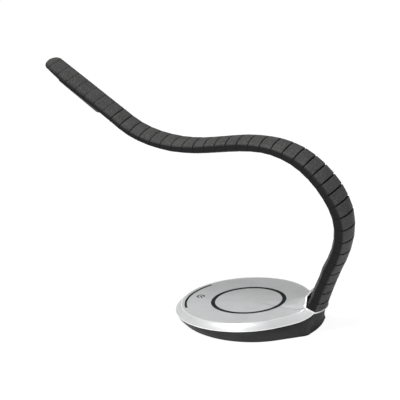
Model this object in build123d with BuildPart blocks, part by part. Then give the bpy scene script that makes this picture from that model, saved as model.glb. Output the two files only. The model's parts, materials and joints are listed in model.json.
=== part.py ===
from build123d import *

import os
from math import acos, atan2, cos, degrees, radians, sin, sqrt, tan

# Gooseneck desk lamp: a round weighted base with a tilted cap, a tapering arm of hinged
# vertebrae that bends in the XZ plane, and a flat light head at its end.
# Millimetres and degrees. +Z is up, the origin is the centre of the resting face, and +X
# points from the base's centre to the arm's root.

# --- base, outer form ---------------------------------------------------------------------
# Seen from above the base is a circle with two tangents that close on the neck's nose.
rim_r = 72.6            # radius of the parting line between the shells
cap_x = -3.6            # the cap's centre, measured from the centre of the resting face
cap_tilt = 3.9          # the cap rises towards the neck
rim_z = 10.7            # height of the parting line at the cap's centre
rim_land = 0.8          # upright edge of the cap above the parting line
cap_rise = 6.4          # from the parting line to the cap's flat face
flat_r = rim_r - 5.7    # radius of the flat face
edge_round = 0.6        # rounding of the flat face's edge
shell_r = rim_r - 0.4   # radius of the lower shell where it meets the cap
belly_r = shell_r - 0.6     # radius of the lower shell halfway down
foot_r = shell_r - 2.9  # radius of the lower shell's bottom edge
foot_z = 1.0            # height of that edge
wall = 2.0              # wall of both shells
floor_t = 2.4           # floor of the lower shell
nose_corner = 7.0       # the nose's corners are cut this far back

# --- base, inlays and pad -----------------------------------------------------------------
pad_r = foot_r - 4.0
pad_t = 1.6
pad_gap = 0.2           # round the pad in its recess
inlay_t = 0.8           # depth of every inlay in the cap
ring_x = 1.6            # the ring's centre from the cap's centre
ring_r = 38.9           # outer radius of the inlaid ring
ring_w = 4.4
slider_r = flat_r - 4.3     # middle radius of the touch strip
slider_w = 2.1
slider_half_angle = 32.5
symbol_r = slider_r - 11.1  # distance of the touch symbol from the cap's centre
symbol_size = 3.7       # outer radius of the symbol's open ring
symbol_stroke = 1.1
symbol_gap_angle = 70.0
symbol_bar = 3.9        # length of the bar in the gap

# --- arm ----------------------------------------------------------------------------------
pitch = 12.0            # length of one vertebra, hinge to hinge
hinge_count = 32        # grooves with a hinge; the grooves after them are moulded in the head
groove_count = 39       # grooves in all
root_reach = 5.7        # first hinge beyond the cap's right-hand end
root_x = cap_x + rim_r + root_reach
root_z = 33.9
root_lean = 20.0        # direction of the fixed root segment, from +Z towards +X
stop_angle = 14.0       # a vertebra's stop, each way from straight
# Bend of the resting arm at chosen hinges, with straight lines between them.
rest_bends = [(1, 0.0), (3, 3.5), (5, -6.5), (7, -11.0), (9, -10.5), (11, -5.5), (13, -7.0),
              (16, -9.5), (18, -7.0), (20, -2.5), (22, 0.0), (24, 4.0), (27, 4.0), (30, 7.5),
              (32, 2.5)]

# Cross-section of the arm at the first groove and at the last one, as half widths along Y
# and distances from the hinge axis towards the outer (+) and inner (-) face.
outer_t = (9.4, 4.2)        # to the outer face's crown
crown_w = (7.6, 7.2)        # half width of the crown
edge_t = (7.2, 3.3)         # to the outer face's edge
outer_w = (15.8, 14.0)      # half width at that edge
side_w = (18.4, 16.2)       # half width over the sides
side_out = (4.6, 2.2)       # where the side meets the outer bevel
side_in = (2.9, 1.1)        # where the side meets the inner bevel
inner_t = (7.0, 2.9)        # to the inner face
inner_w = (10.4, 9.2)       # half width of the inner face

# --- vertebra hinge -----------------------------------------------------------------------
cup_wall = 0.7          # wall of the cup around the next vertebra's barrel
cup_clearance = 0.12    # between barrel and cup
neck_clearance = 0.25   # between a cup's edge and the next vertebra at its stop
pin_r = 0.9             # moulded pins on the tongue
pin_clearance = 0.06
tongue_r = 1.7
tongue_w = 5.0          # width of the tongue along Y
pin_reach = 2.4         # each pin's length beyond the tongue
tongue_clearance = 0.15
stem_t = 2.0            # thickness of the tongue's stem
lead_y = 8.6            # the lead runs beside the tongue
lead_r = 0.7
lead_clearance = 0.15
lead_end_gap = 0.2      # between the lead's sections at each hinge

# --- collar, anchor -----------------------------------------------------------------------
collar_drop = 9.7       # collar plane below the first hinge, along the root segment
collar_grow = 1.6       # neck outside the arm's section at the collar
collar_t = 1.5
# The collar's edge seen from the side of the root segment: level outside, climbing inside.
collar_line = [(40.0, -9.7), (-3.4, -9.0), (-8.5, 0.0), (-40.0, 0.0)]
arm_clearance = 0.2     # between the arm's root and the neck
neck_back_x = root_x - 18.0     # inner side of the neck under the rim plane
neck_depth = 2.0        # and how far under it the neck starts
# The nose at the bottom edge, halfway down and on the rim plane: its end and its half width.
foot_nose = (root_x + 0.6, 20.0)
belly_nose = (root_x + 1.8, 19.5)
rim_nose = (root_x + 3.0, 20.0)
flat_nose = (root_x - 2.2, 17.4)    # and on the plane of the cap's flat face
# Where the cap starts to rise to the collar, on that plane, one half.
rise_foot = [(flat_nose[0], 8.0), (flat_nose[0] - 2.0, 17.2), (flat_nose[0] - 15.0, 31.4),
             (flat_nose[0] - 24.0, 14.0)]
rise_lean = 10.0        # lean of the plane halfway up
rise_reach = 2.0        # how far the inner side still stands off there
rise_inset = 0.3        # the rise runs just inside the neck's sides
parting_x = root_x - 10.0   # the parting line leaves the rim plane here
parting_lift = 6.4      # and meets the collar this far out from the arm's axis
anchor_seat_z = 5.0     # the anchor stands on a raised seat of the floor
anchor_foot_t = 4.2
anchor_pocket_w = 12.4  # half width of the pocket through which the lead turns upwards
anchor_pocket_drop = 4.0    # solid length of the anchor below the collar
anchor_outer_wall = 3.2

# --- inside the base ----------------------------------------------------------------------
ballast_r = foot_r - 15.0
ballast_x = -8.0
ballast_t = 5.0
screw_r = 1.45
screw_hole_clearance = 0.1
screw_head_r = 2.7
screw_head_t = 1.8
screw_head_gap = 0.15
screw_reach = 4.0       # thread beyond the joint that the screw closes
boss_r = 4.0
boss_circle_r = foot_r - 23.0
boss_z = 9.0            # joint between the shells' bosses
boss_gap = 0.3          # round a boss where it passes the ballast
board_x, board_y = 8.0, 0.0
board_l, board_w, board_t = 44.0, 30.0, 1.6
board_pad_t = 1.0
touch_board_r = (slider_r - 4.8, slider_r + 1.2)
touch_board_half_angle = slider_half_angle + 1.5
touch_board_t = 1.0
inlet_x = 6.0
inlet_z = 7.6
inlet_w, inlet_h, inlet_l = 9.0, 3.3, 8.0
inlet_wall = 0.4
inlet_gap = 0.15
inlet_front_r = belly_r - 2.6   # the socket's mouth from the middle of the base
tongue_plate_t = 0.7
inlet_tongue_w = 6.6
anchor_screw_x = root_x - 14.7
anchor_screw_y = 6.5
anchor_seat_x = (root_x - 21.7, root_x - 3.7)
anchor_seat_w = 13.0    # half width of the raised seat
base_lead_z = 10.4
lead_bend_r = 5.0
chip_sizes = [(-12.0, 6.0, 9.0, 9.0, 2.0), (4.0, -6.0, 7.0, 5.0, 1.8), (14.0, 7.0, 6.0, 6.0, 3.2),
              (-13.0, -8.0, 8.0, 4.0, 1.2)]    # x, y, length, width, height on the board

# --- head ---------------------------------------------------------------------------------
groove_w = 0.9          # moulded grooves
groove_d = 0.5
tip_l = 8.4             # beyond the last groove
bar_start = 1.3         # light bar, in pitches from the last hinge
bar_l = 55.0
bar_w = 22.0
bar_h = 1.6             # the bar stands this far proud of the inner face
bar_wall = 1.5
fit_gap = 0.1
lens_t = 1.6
lens_ledge = 1.0
ceiling = 2.0           # the head's inner ceiling, from the hinge axis plane
led_board_t = 0.8
led_count = 14
led_l, led_w, led_t = 2.8, 3.5, 0.7
spreader_t = 0.8
bar_corner_r = 4.0
tip_round = 0.96        # how nearly the tip's plan closes to half an ellipse
tip_thinning = 0.5      # share of its thickness that the tip loses by its end
tip_steps = (0.0, 0.3, 0.55, 0.75, 0.9, 1.0)
spigot_l, spigot_w, spigot_t = 4.0, 16.0, 3.0

os.makedirs("parts", exist_ok=True)


def save(part, name):
    """Label a finished piece and write it as one STEP file."""
    part.label = name
    export_step(part, f"parts/{name}.step")
    solids = part.solids()
    print(f"{name:16s} {len(solids):3d} solids {sum(s.volume for s in solids):10.1f} mm3")


def tapered(root_and_tip, groove):
    """A size of the arm at a groove, on a straight line from the first groove to the last."""
    root, tip = root_and_tip
    return root + (tip - root) * (groove - 1) / (groove_count - 1)


def bend_at(hinge):
    """The resting bend at a hinge, read between the chosen hinges."""
    for (low, low_bend), (high, high_bend) in zip(rest_bends, rest_bends[1:]):
        if low <= hinge <= high:
            return low_bend + (high_bend - low_bend) * (hinge - low) / (high - low)
    return 0.0


def arm_frames():
    """One plane per hinge: local X to the arm's outer side, local Z along the vertebra above it."""
    frames = []
    angle = root_lean
    x, z = root_x, root_z
    for hinge in range(1, hinge_count + 1):
        angle += bend_at(hinge) if hinge > 1 else 0.0
        along = Vector(sin(radians(angle)), 0, cos(radians(angle)))
        outward = Vector(along.Z, 0, -along.X)
        frames.append(Plane(origin=(x, 0, z), x_dir=outward, z_dir=along))
        x += pitch * along.X
        z += pitch * along.Z
    return frames


def half_section(groove):
    """One half of the arm's outline at a groove, from the crown round to the inner face."""
    side = tapered(side_w, groove)
    return [(tapered(outer_t, groove), tapered(crown_w, groove)),
            (tapered(edge_t, groove), tapered(outer_w, groove)),
            (tapered(side_out, groove), side), (-tapered(side_in, groove), side),
            (-tapered(inner_t, groove), tapered(inner_w, groove))]


def moved_out(half, amount):
    """A half outline with every side moved out by an amount."""
    round_trip = [(half[0][0], -half[0][1]), *half, (half[-1][0], -half[-1][1])]
    sides = [Vector(x1 - x0, y1 - y0) for (x0, y0), (x1, y1) in zip(round_trip, round_trip[1:])]
    normals = [Vector(side.Y, -side.X).normalized() for side in sides]
    moved = []
    for (x, y), before, after in zip(half, normals, normals[1:]):
        step = (before + after) * (amount / (1 + before.dot(after)))
        moved.append((x + step.X, y + step.Y))
    return moved


def mirrored_face(plane, half):
    """A face with that half outline and its mirror image across the plane's local X."""
    with BuildSketch(plane) as outline:
        with BuildLine():
            Polyline(*half, *[(x, -y) for x, y in reversed(half)], close=True)
        make_face()
    return outline.sketch


def section(plane, groove, grow=0.0):
    """The arm's ten-sided section at a groove, grown or shrunk all round."""
    return mirrored_face(plane, moved_out(half_section(groove), grow))


def barrel_size(groove):
    """Radius, half length, end radius and full-radius half length of the barrel at a groove."""
    radius = tapered(inner_t, groove) - cup_wall - cup_clearance
    half_length = tapered(side_w, groove) - cup_wall - cup_clearance
    bevel_rise = tapered(inner_t, groove) - tapered(side_in, groove)
    slope = bevel_rise / (tapered(side_w, groove) - tapered(inner_w, groove))
    inset = (cup_wall + cup_clearance) * sqrt(1 + slope**2)
    end_radius = tapered(side_in, groove) + (tapered(side_w, groove) - half_length) * slope - inset
    full_half_length = half_length - (radius - end_radius) / slope
    return radius, half_length, end_radius, full_half_length


def barrel(plane, groove, grow=0.0):
    """The barrel of a hinge, turned about the hinge axis (local Y of its plane)."""
    radius, half_length, end_radius, full_half_length = barrel_size(groove)
    half = [(0, half_length + grow), (end_radius + grow, half_length + grow),
            (radius + grow, full_half_length)]
    with BuildPart() as turned:
        with BuildSketch(plane):
            with BuildLine():
                Polyline(*half, *[(x, -y) for x, y in reversed(half)], close=True)
            make_face()
        revolve(axis=Axis(plane.origin, plane.y_dir), revolution_arc=360)
    return turned.part


def side_view(plane, y=0.0):
    """The plane's side view at a distance along its Y: local X outward, local Y along the arm."""
    return Plane(origin=plane.origin + plane.y_dir * y, x_dir=plane.x_dir, z_dir=-plane.y_dir)


def neck_height(groove):
    """Height above a hinge at which a vertebra may reach its full thickness."""
    return tapered(outer_t, groove) * sin(radians(stop_angle)) + neck_clearance


def pocket_half(groove, half_thickness):
    """Half the pocket that a part of that thickness needs to swing to the stops in a barrel."""
    radius = barrel_size(groove)[0]
    return half_thickness + radius * sin(radians(stop_angle)) + tongue_clearance


def hinge_pockets(plane, groove):
    """What a barrel leaves open: the tongue's pocket, its pin holes and the lead's way."""
    radius = barrel_size(groove)[0]
    tongue_half = pocket_half(groove, stem_t / 2)
    lead_half = pocket_half(groove, lead_r)
    with BuildPart() as pockets:
        with BuildSketch(side_view(plane)):
            with Locations((0, (tongue_r + tongue_clearance - radius) / 2)):
                Rectangle(2 * tongue_half, radius + tongue_r + tongue_clearance)
        extrude(amount=tongue_w / 2 + tongue_clearance, both=True)
        with BuildSketch(side_view(plane)):
            Circle(pin_r + pin_clearance)
        extrude(amount=tongue_w / 2 + pin_reach + tongue_clearance, both=True)
        with BuildSketch(side_view(plane, lead_y)):
            with Locations((0, -radius / 2)):
                Rectangle(2 * lead_half, radius)
        extrude(amount=lead_r + lead_clearance, both=True)
    return pockets.part


def cup_fittings(plane, groove):
    """What stands in a cup: the tongue with its two moulded pins."""
    radius = barrel_size(groove)[0] + cup_clearance
    with BuildPart() as fittings:
        with BuildSketch(side_view(plane)):
            Circle(tongue_r)
            with Locations((0, -radius / 2)):
                Rectangle(stem_t, radius + cup_wall)
        extrude(amount=tongue_w / 2, both=True)
        with BuildSketch(side_view(plane)):
            Circle(pin_r)
        extrude(amount=tongue_w / 2 + pin_reach, both=True)
    return fittings.part


def lead_way(plane, start, end):
    """The round hole for the lead between two heights of a plane."""
    with BuildPart() as way:
        with BuildSketch(plane.offset(start)):
            with Locations((0, lead_y)):
                Circle(lead_r + lead_clearance)
        extrude(amount=end - start)
    return way.part


def lead_section(plane, start, end):
    """One straight length of the lead."""
    with BuildPart() as length:
        with BuildSketch(plane.offset(start)):
            with Locations((0, lead_y)):
                Circle(lead_r)
        extrude(amount=end - start)
    return length.part


def hinged_body(plane, groove, full_groove, end_groove):
    """A body that starts with a barrel and reaches the full section at a groove, or goes on to one."""
    start = neck_height(groove)
    full = section(plane.offset((full_groove - groove) * pitch), full_groove)
    with BuildPart() as body:
        loft(sections=[section(plane.offset(start), groove, -cup_wall), full], ruled=True)
        if end_groove > full_groove:
            loft(sections=[full, section(plane.offset((end_groove - groove) * pitch), end_groove)], ruled=True)
        add(barrel(plane, groove))
        add(hinge_pockets(plane, groove), mode=Mode.SUBTRACT)
    return body.part


def make_vertebra(hinge, frames):
    """A vertebra between two hinges, with its length of the lead as a second solid."""
    low, high = frames[hinge - 1], frames[hinge]
    top = low.offset(pitch)
    with BuildPart() as vertebra:
        add(hinged_body(low, hinge, hinge + 1, hinge + 1))
        add(barrel(top, hinge + 1, cup_clearance), mode=Mode.SUBTRACT)
        add(cup_fittings(top, hinge + 1))
        add(lead_way(low, 0, pitch), mode=Mode.SUBTRACT)
    lead = lead_section(low, lead_end_gap, pitch - lead_end_gap)
    assert abs((high.origin - top.origin).length) < 1e-6
    return Compound(children=[vertebra.part.solid(), lead.solid()])


# --- planes of the base -------------------------------------------------------------------
tilt_cos, tilt_sin = cos(radians(cap_tilt)), sin(radians(cap_tilt))
rim_plane = Plane(origin=(cap_x, 0, rim_z), x_dir=(tilt_cos, 0, tilt_sin),
                  z_dir=(-tilt_sin, 0, tilt_cos))
cap_face = rim_plane.offset(cap_rise)
cap_axis = Axis(rim_plane.origin, rim_plane.z_dir)
floor_z = foot_z + floor_t

frames = arm_frames()
root = frames[0]
collar = root.offset(-collar_drop)

# The parting line follows the rim plane and climbs to the collar at the neck.
parting_z = rim_z + (parting_x - cap_x) * tan(radians(cap_tilt))
parting_end = collar.origin + collar.x_dir * parting_lift
parting_run = (parting_end - Vector(parting_x, 0, parting_z)).normalized()
neck_parting = Plane(origin=(parting_x, 0, parting_z), x_dir=parting_run,
                     z_dir=parting_run.cross(Vector(0, 1, 0)))


def base_outline(plane, centre_x, radius, nose):
    """A circle with two tangents that close on the nose, seen from above."""
    nose_x, nose_w = nose
    reach = nose_x - centre_x
    touch = degrees(atan2(nose_w, reach) + acos(radius / sqrt(reach**2 + nose_w**2)))
    start = (centre_x + radius * cos(radians(touch)), radius * sin(radians(touch)))
    run = sqrt((nose_x - start[0])**2 + (nose_w - start[1])**2)
    back = nose_corner / run
    corner = (nose_x + (start[0] - nose_x) * back, nose_w + (start[1] - nose_w) * back)
    with BuildSketch(plane) as outline:
        with BuildLine():
            CenterArc((centre_x, 0), radius, touch, 360 - 2 * touch)
            Polyline(start, corner, (nose_x, nose_w - nose_corner), (nose_x, nose_corner - nose_w),
                     (corner[0], -corner[1]), (start[0], -start[1]))
        make_face()
    return outline.sketch


def inset_nose(nose, inset):
    """A nose moved in by a wall."""
    return nose[0] - inset, nose[1] - inset


def on_cap(nose):
    """A nose measured from the cap's centre."""
    return nose[0] - cap_x, nose[1]


def cap_form(inset, edge_r=0.0):
    """The cap: upright land, bevelled band and flat face, moved in by a wall."""
    brim = base_outline(rim_plane, 0, rim_r - inset, on_cap(inset_nose(rim_nose, inset)))
    land = base_outline(rim_plane.offset(rim_land), 0, rim_r - inset, on_cap(inset_nose(rim_nose, inset)))
    face = base_outline(cap_face.offset(-inset), 0, flat_r - inset / 2, on_cap(inset_nose(flat_nose, inset / 2)))
    with BuildPart() as form:
        loft(sections=[brim, land], ruled=True)
        loft(sections=[land, face], ruled=True)
        if edge_r:
            fillet(form.faces().filter_by(Axis(cap_axis.position, cap_axis.direction)).sort_by(cap_axis)[-1].edges(),
                   edge_r)
    return form.part


def bowl_form(inset, bottom_z):
    """The lower shell's bowl, from its bottom edge to the rim plane."""
    halfway = Plane(origin=(cap_x / 2, 0, (foot_z + rim_z) / 2),
                    x_dir=(cos(radians(cap_tilt / 2)), 0, sin(radians(cap_tilt / 2))),
                    z_dir=(-sin(radians(cap_tilt / 2)), 0, cos(radians(cap_tilt / 2))))
    bottom = base_outline(Plane.XY.offset(bottom_z), 0, foot_r - inset, inset_nose(foot_nose, inset))
    belly = base_outline(halfway, 0, belly_r - inset,
                         (belly_nose[0] - cap_x / 2 - inset, belly_nose[1] - inset))
    brim = base_outline(rim_plane, 0, shell_r - inset, on_cap(inset_nose(rim_nose, inset)))
    with BuildPart() as form:
        loft(sections=[bottom, belly, brim])
    return form.part


def neck_form(inset, collar_offset, rise):
    """The neck from the bowl's nose to the collar, ten-sided like the arm."""
    x_low, x_high, half = (neck_back_x - cap_x + inset, rim_nose[0] - cap_x - inset, rim_nose[1] - inset)
    corner = nose_corner - inset
    bottom = mirrored_face(rim_plane.offset(-neck_depth),
                           [(x_high, half - corner), (x_high - corner / 3, half - corner / 3),
                            (x_high - corner, half), (x_low + corner, half), (x_low, half - corner)])
    top = section(collar, 1, collar_offset)
    with BuildPart() as form:
        loft(sections=[bottom, top], ruled=True)
        extrude(to_extrude=top.face(), amount=rise)
    return form.part


def rise_form():
    """The cap's rise to the collar."""
    halfway = Plane(origin=collar.origin, x_dir=(cos(radians(rise_lean)), 0, -sin(radians(rise_lean))),
                    z_dir=(sin(radians(rise_lean)), 0, cos(radians(rise_lean))))
    foot = [(x - cap_x, y) for x, y in rise_foot]
    side = side_w[0] + collar_grow - rise_inset
    top = [(edge_t[0], outer_w[0]), (side_out[0], side), (-side_in[0] - collar_grow / 2, side),
           (-inner_t[0] - collar_grow - rise_inset, inner_w[0] + collar_grow / 2)]
    waist = top[:3] + [(top[3][0] - rise_reach, top[3][1])]
    with BuildPart() as form:
        loft(sections=[mirrored_face(cap_face.offset(-wall), foot), mirrored_face(halfway, waist),
                       mirrored_face(root.offset(collar_t), top)], ruled=True)
    return form.part


def above_collar(gap):
    """Everything above the collar's edge, or a gap higher."""
    line = [(x, z + gap) for x, z in collar_line]
    with BuildPart() as region:
        with BuildSketch(side_view(root)):
            with BuildLine():
                Polyline(*line, (line[-1][0], rim_r), (line[0][0], rim_r), close=True)
            make_face()
        extrude(amount=rim_r, both=True)
    return region.part


def base_envelope():
    """The base's outer form, both shells together."""
    with BuildPart() as envelope:
        add(bowl_form(0, foot_z))
        add(cap_form(0, edge_round))
        add(neck_form(0, collar_grow, collar_drop + collar_t))
        add(rise_form())
        add(above_collar(0), mode=Mode.SUBTRACT)
    return envelope.part


def base_hollow(gap):
    """What both shells enclose, with the way out for the arm, or a gap inside that."""
    with BuildPart() as hollow:
        add(bowl_form(wall + gap, floor_z))
        add(cap_form(wall + gap))
        add(neck_form(wall + gap, arm_clearance - gap, collar_drop + 2 * collar_t))
    return hollow.part


def cap_region():
    """Everything above the parting line."""
    with BuildPart() as region:
        with BuildSketch(rim_plane):
            Circle(2 * rim_r)
        extrude(amount=rim_r)
        split(bisect_by=neck_parting, keep=Keep.TOP)
    return region.part


def slider_sketch(radii, half_angle):
    """A band about -X of the cap, seen on its face."""
    inner, outer = radii
    with BuildSketch(cap_face) as band:
        with BuildLine():
            CenterArc((0, 0), outer, 180 - half_angle, 2 * half_angle)
            CenterArc((0, 0), inner, 180 - half_angle, 2 * half_angle)
            for side in (-1, 1):
                angle = radians(180 + side * half_angle)
                Line((inner * cos(angle), inner * sin(angle)), (outer * cos(angle), outer * sin(angle)))
        make_face()
    return band.sketch


def ring_sketch():
    """The inlaid ring, seen on the cap's face."""
    with BuildSketch(cap_face) as band:
        with Locations((ring_x, 0)):
            Circle(ring_r)
            Circle(ring_r - ring_w, mode=Mode.SUBTRACT)
    return band.sketch


def symbol_sketch():
    """A plain on-off symbol: an open ring with a bar in its gap."""
    gap_start = symbol_gap_angle / 2
    with BuildSketch(cap_face) as symbol:
        with Locations((-symbol_r, 0)):
            Circle(symbol_size)
            Circle(symbol_size - symbol_stroke, mode=Mode.SUBTRACT)
        with BuildLine(mode=Mode.PRIVATE) as wedge:
            reach = 2 * symbol_size
            Polyline((-symbol_r, 0),
                     (-symbol_r + reach * cos(radians(gap_start)), reach * sin(radians(gap_start))),
                     (-symbol_r + reach * cos(radians(gap_start)), -reach * sin(radians(gap_start))),
                     close=True)
        add(make_face(wedge.edges(), mode=Mode.PRIVATE), mode=Mode.SUBTRACT)
        with Locations((-symbol_r + symbol_size - symbol_bar / 2 + symbol_stroke, 0)):
            Rectangle(symbol_bar, symbol_stroke)
    return symbol.sketch


def inlay(sketch):
    """An inlay that fills its recess in the cap."""
    with BuildPart() as piece:
        extrude(to_extrude=sketch, amount=-inlay_t)
    return piece.part


boss_points = [(boss_circle_r * cos(radians(a)), boss_circle_r * sin(radians(a))) for a in (50, 130, 230, 310)]
anchor_points = [(anchor_screw_x, anchor_screw_y), (anchor_screw_x, -anchor_screw_y)]
screw_seat_z = pad_t + screw_head_t + 2 * screw_head_gap


def columns(points, radius, low, high):
    """Upright cylinders at some points, between two heights."""
    with BuildPart() as group:
        with BuildSketch(Plane.XY.offset(low)):
            with Locations(*points):
                Circle(radius)
        extrude(amount=high - low)
    return group.part


def cap_bosses():
    """The bosses under the cap that take the case screws."""
    with BuildPart() as group:
        add(columns(boss_points, boss_r, boss_z, rim_z + 2 * cap_rise))
        split(bisect_by=rim_plane.offset(cap_rise - wall / 2), keep=Keep.BOTTOM)
    return group.part


inlays = {"ring_inlay": inlay(ring_sketch()),
          "slider_inlay": inlay(slider_sketch((slider_r - slider_w / 2, slider_r + slider_w / 2),
                                              slider_half_angle)),
          "symbol_inlay": inlay(symbol_sketch())}
upper = cap_region()
with BuildPart() as shells:
    add(base_envelope())
    add(base_hollow(0), mode=Mode.SUBTRACT)

# --- top_shell ----------------------------------------------------------------------------
with BuildPart() as top_shell:
    add(shells.part)
    add(upper, mode=Mode.INTERSECT)
    add(cap_bosses())
    add(columns(boss_points, screw_r + screw_hole_clearance, 0, boss_z + screw_reach + 0.5), mode=Mode.SUBTRACT)
    for piece in inlays.values():
        add(piece, mode=Mode.SUBTRACT)
save(top_shell.part, "top_shell")

# --- lower_shell --------------------------------------------------------------------------
screw_points = boss_points + anchor_points
with BuildPart() as lower_shell:
    add(shells.part)
    add(upper, mode=Mode.SUBTRACT)
    add(columns(boss_points, boss_r, floor_z, boss_z))
    with BuildSketch(Plane.XY.offset(floor_z)):
        with Locations((inlet_x, inlet_front_r - inlet_l / 2 - wall)):
            Rectangle(inlet_w + 2 * wall, inlet_l)
    extrude(amount=inlet_z - inlet_h / 2 - inlet_gap - floor_z)
    with BuildSketch(Plane.XY.offset(floor_z)):
        with Locations((sum(anchor_seat_x) / 2, 0)):
            Rectangle(anchor_seat_x[1] - anchor_seat_x[0], 2 * anchor_seat_w)
    extrude(amount=anchor_seat_z - floor_z)
    with BuildSketch(Plane.XZ.offset(-inlet_front_r + inlet_l / 2)):
        with Locations((inlet_x, inlet_z)):
            RectangleRounded(inlet_w + 2 * inlet_gap, inlet_h + 2 * inlet_gap, inlet_h / 2)
    extrude(amount=-inlet_l, mode=Mode.SUBTRACT)
    add(columns([(0, 0)], pad_r + pad_gap, 0, pad_t), mode=Mode.SUBTRACT)
    add(columns(screw_points, screw_head_r + screw_head_gap, 0, screw_seat_z + 0.01), mode=Mode.SUBTRACT)
    add(columns(screw_points, screw_r + screw_hole_clearance, 0, boss_z + 1), mode=Mode.SUBTRACT)
save(lower_shell.part, "lower_shell")

for name, piece in inlays.items():
    save(piece, name)

# --- foot_pad -----------------------------------------------------------------------------
with BuildPart() as foot_pad:
    with BuildSketch():
        Circle(pad_r)
    extrude(amount=pad_t)
    fillet(foot_pad.edges().group_by(Axis.Z)[0], pad_t / 4)
save(foot_pad.part, "foot_pad")

# --- ballast_plate ------------------------------------------------------------------------
with BuildPart() as ballast_plate:
    add(columns([(ballast_x, 0)], ballast_r, floor_z, floor_z + ballast_t))
    add(columns(boss_points, boss_r + boss_gap, floor_z, floor_z + ballast_t), mode=Mode.SUBTRACT)
save(ballast_plate.part, "ballast_plate")

# --- control_board ------------------------------------------------------------------------
board_low = floor_z + ballast_t + board_pad_t
with BuildPart() as board_pad:
    with BuildSketch(Plane.XY.offset(floor_z + ballast_t)):
        with Locations((board_x, board_y)):
            Rectangle(board_l, board_w)
    extrude(amount=board_pad_t)
save(board_pad.part, "board_pad")

with BuildPart() as control_board:
    with BuildSketch(Plane.XY.offset(board_low)):
        with Locations((board_x, board_y)):
            Rectangle(board_l, board_w)
    extrude(amount=board_t)
    for chip_x, chip_y, chip_l, chip_w, chip_h in chip_sizes:
        with BuildSketch(Plane.XY.offset(board_low + board_t)):
            with Locations((board_x + chip_x, board_y + chip_y)):
                Rectangle(chip_l, chip_w)
        extrude(amount=chip_h)
save(control_board.part, "control_board")

# --- touch_board --------------------------------------------------------------------------
with BuildPart() as touch_board:
    extrude(to_extrude=slider_sketch(touch_board_r, touch_board_half_angle), amount=-wall - touch_board_t)
    with BuildSketch(cap_face):
        Circle(rim_r)
    extrude(amount=-wall, mode=Mode.SUBTRACT)
save(touch_board.part, "touch_board")

# --- power_inlet --------------------------------------------------------------------------
mouth = Plane.XZ.offset(-inlet_front_r)
with BuildPart() as power_inlet:
    with BuildSketch(mouth):
        with Locations((inlet_x, inlet_z)):
            RectangleRounded(inlet_w, inlet_h, inlet_h / 2 - 0.01)
    extrude(amount=inlet_l)
    with BuildSketch(mouth):
        with Locations((inlet_x, inlet_z)):
            RectangleRounded(inlet_w - 2 * inlet_wall, inlet_h - 2 * inlet_wall, inlet_h / 2 - inlet_wall - 0.01)
    extrude(amount=inlet_l - 2 * inlet_wall, mode=Mode.SUBTRACT)
    with BuildSketch(mouth.offset(2 * inlet_wall)):
        with Locations((inlet_x, inlet_z)):
            Rectangle(inlet_tongue_w, tongue_plate_t)
    extrude(amount=inlet_l - 3 * inlet_wall)
save(power_inlet.part, "power_inlet")

# --- leads inside the base ----------------------------------------------------------------
def tube(points, radius, bend_r):
    """A round lead along straight runs joined by arcs."""
    with BuildPart() as lead:
        with BuildLine() as route:
            FilletPolyline(*points, radius=bend_r)
        with BuildSketch(Plane(origin=route.wire() @ 0, z_dir=route.wire() % 0)):
            Circle(radius)
        sweep(path=route.wire())
    return lead.part


root_drop = (base_lead_z - root_z) / root.z_dir.Z
lead_corner = root.origin + root.z_dir * root_drop + Vector(0, lead_y, 0)
lead_end = root.origin - root.z_dir * lead_end_gap + Vector(0, lead_y, 0)
base_lead = tube([(board_x + board_l / 2, lead_y, base_lead_z), lead_corner, lead_end], lead_r, lead_bend_r)
save(base_lead, "base_lead")

inlet_back = inlet_front_r - inlet_l
inlet_lead = tube([(inlet_x, inlet_back, inlet_z), (inlet_x, inlet_back - 3.5, inlet_z),
                   (inlet_x, inlet_back - 8, base_lead_z), (board_x, board_y + board_w, base_lead_z),
                   (board_x, board_y + board_w / 2, base_lead_z)], lead_r, lead_bend_r)
save(inlet_lead, "inlet_lead")

# --- screws -------------------------------------------------------------------------------
def screws(points, joint_z):
    """Pan-head screws from below, with a cross recess in each head."""
    head_low = screw_seat_z - screw_head_t
    with BuildPart() as group:
        add(columns(points, screw_head_r, head_low, screw_seat_z))
        add(columns(points, screw_r, screw_seat_z, joint_z + screw_reach))
        with BuildSketch(Plane.XY.offset(head_low)):
            with Locations(*points):
                Rectangle(2 * screw_r, screw_r / 3)
                Rectangle(screw_r / 3, 2 * screw_r)
        extrude(amount=screw_head_t / 2, mode=Mode.SUBTRACT)
    return group.part


save(screws(boss_points, boss_z), "case_screws")
save(screws(anchor_points, anchor_seat_z), "anchor_screws")

# --- collar_trim --------------------------------------------------------------------------
with BuildPart() as collar_trim:
    extrude(to_extrude=section(collar, 1, collar_grow), amount=collar_drop + collar_t)
    extrude(to_extrude=section(collar, 1, arm_clearance), amount=collar_drop + collar_t, mode=Mode.SUBTRACT)
    add(above_collar(0), mode=Mode.INTERSECT)
    add(above_collar(collar_t), mode=Mode.SUBTRACT)
save(collar_trim.part, "collar_trim")

# --- arm_anchor ---------------------------------------------------------------------------
anchor_length = (root_z - foot_z) / root.z_dir.Z + tapered(outer_t, 1)


def anchor_pocket():
    """The pocket in the anchor through which the lead turns upwards, open to the base's inside."""
    outer_side = tapered(outer_t, 1) - anchor_outer_wall
    depth = outer_side + 2 * tapered(inner_t, 1)
    with BuildPart() as pocket:
        with BuildSketch(root.offset(-collar_drop - anchor_pocket_drop)):
            with Locations((outer_side - depth / 2, 0)):
                Rectangle(depth, 2 * anchor_pocket_w)
        extrude(amount=-anchor_length)
        split(bisect_by=Plane.XY.offset(anchor_seat_z + anchor_foot_t), keep=Keep.TOP)
    return pocket.part


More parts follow.
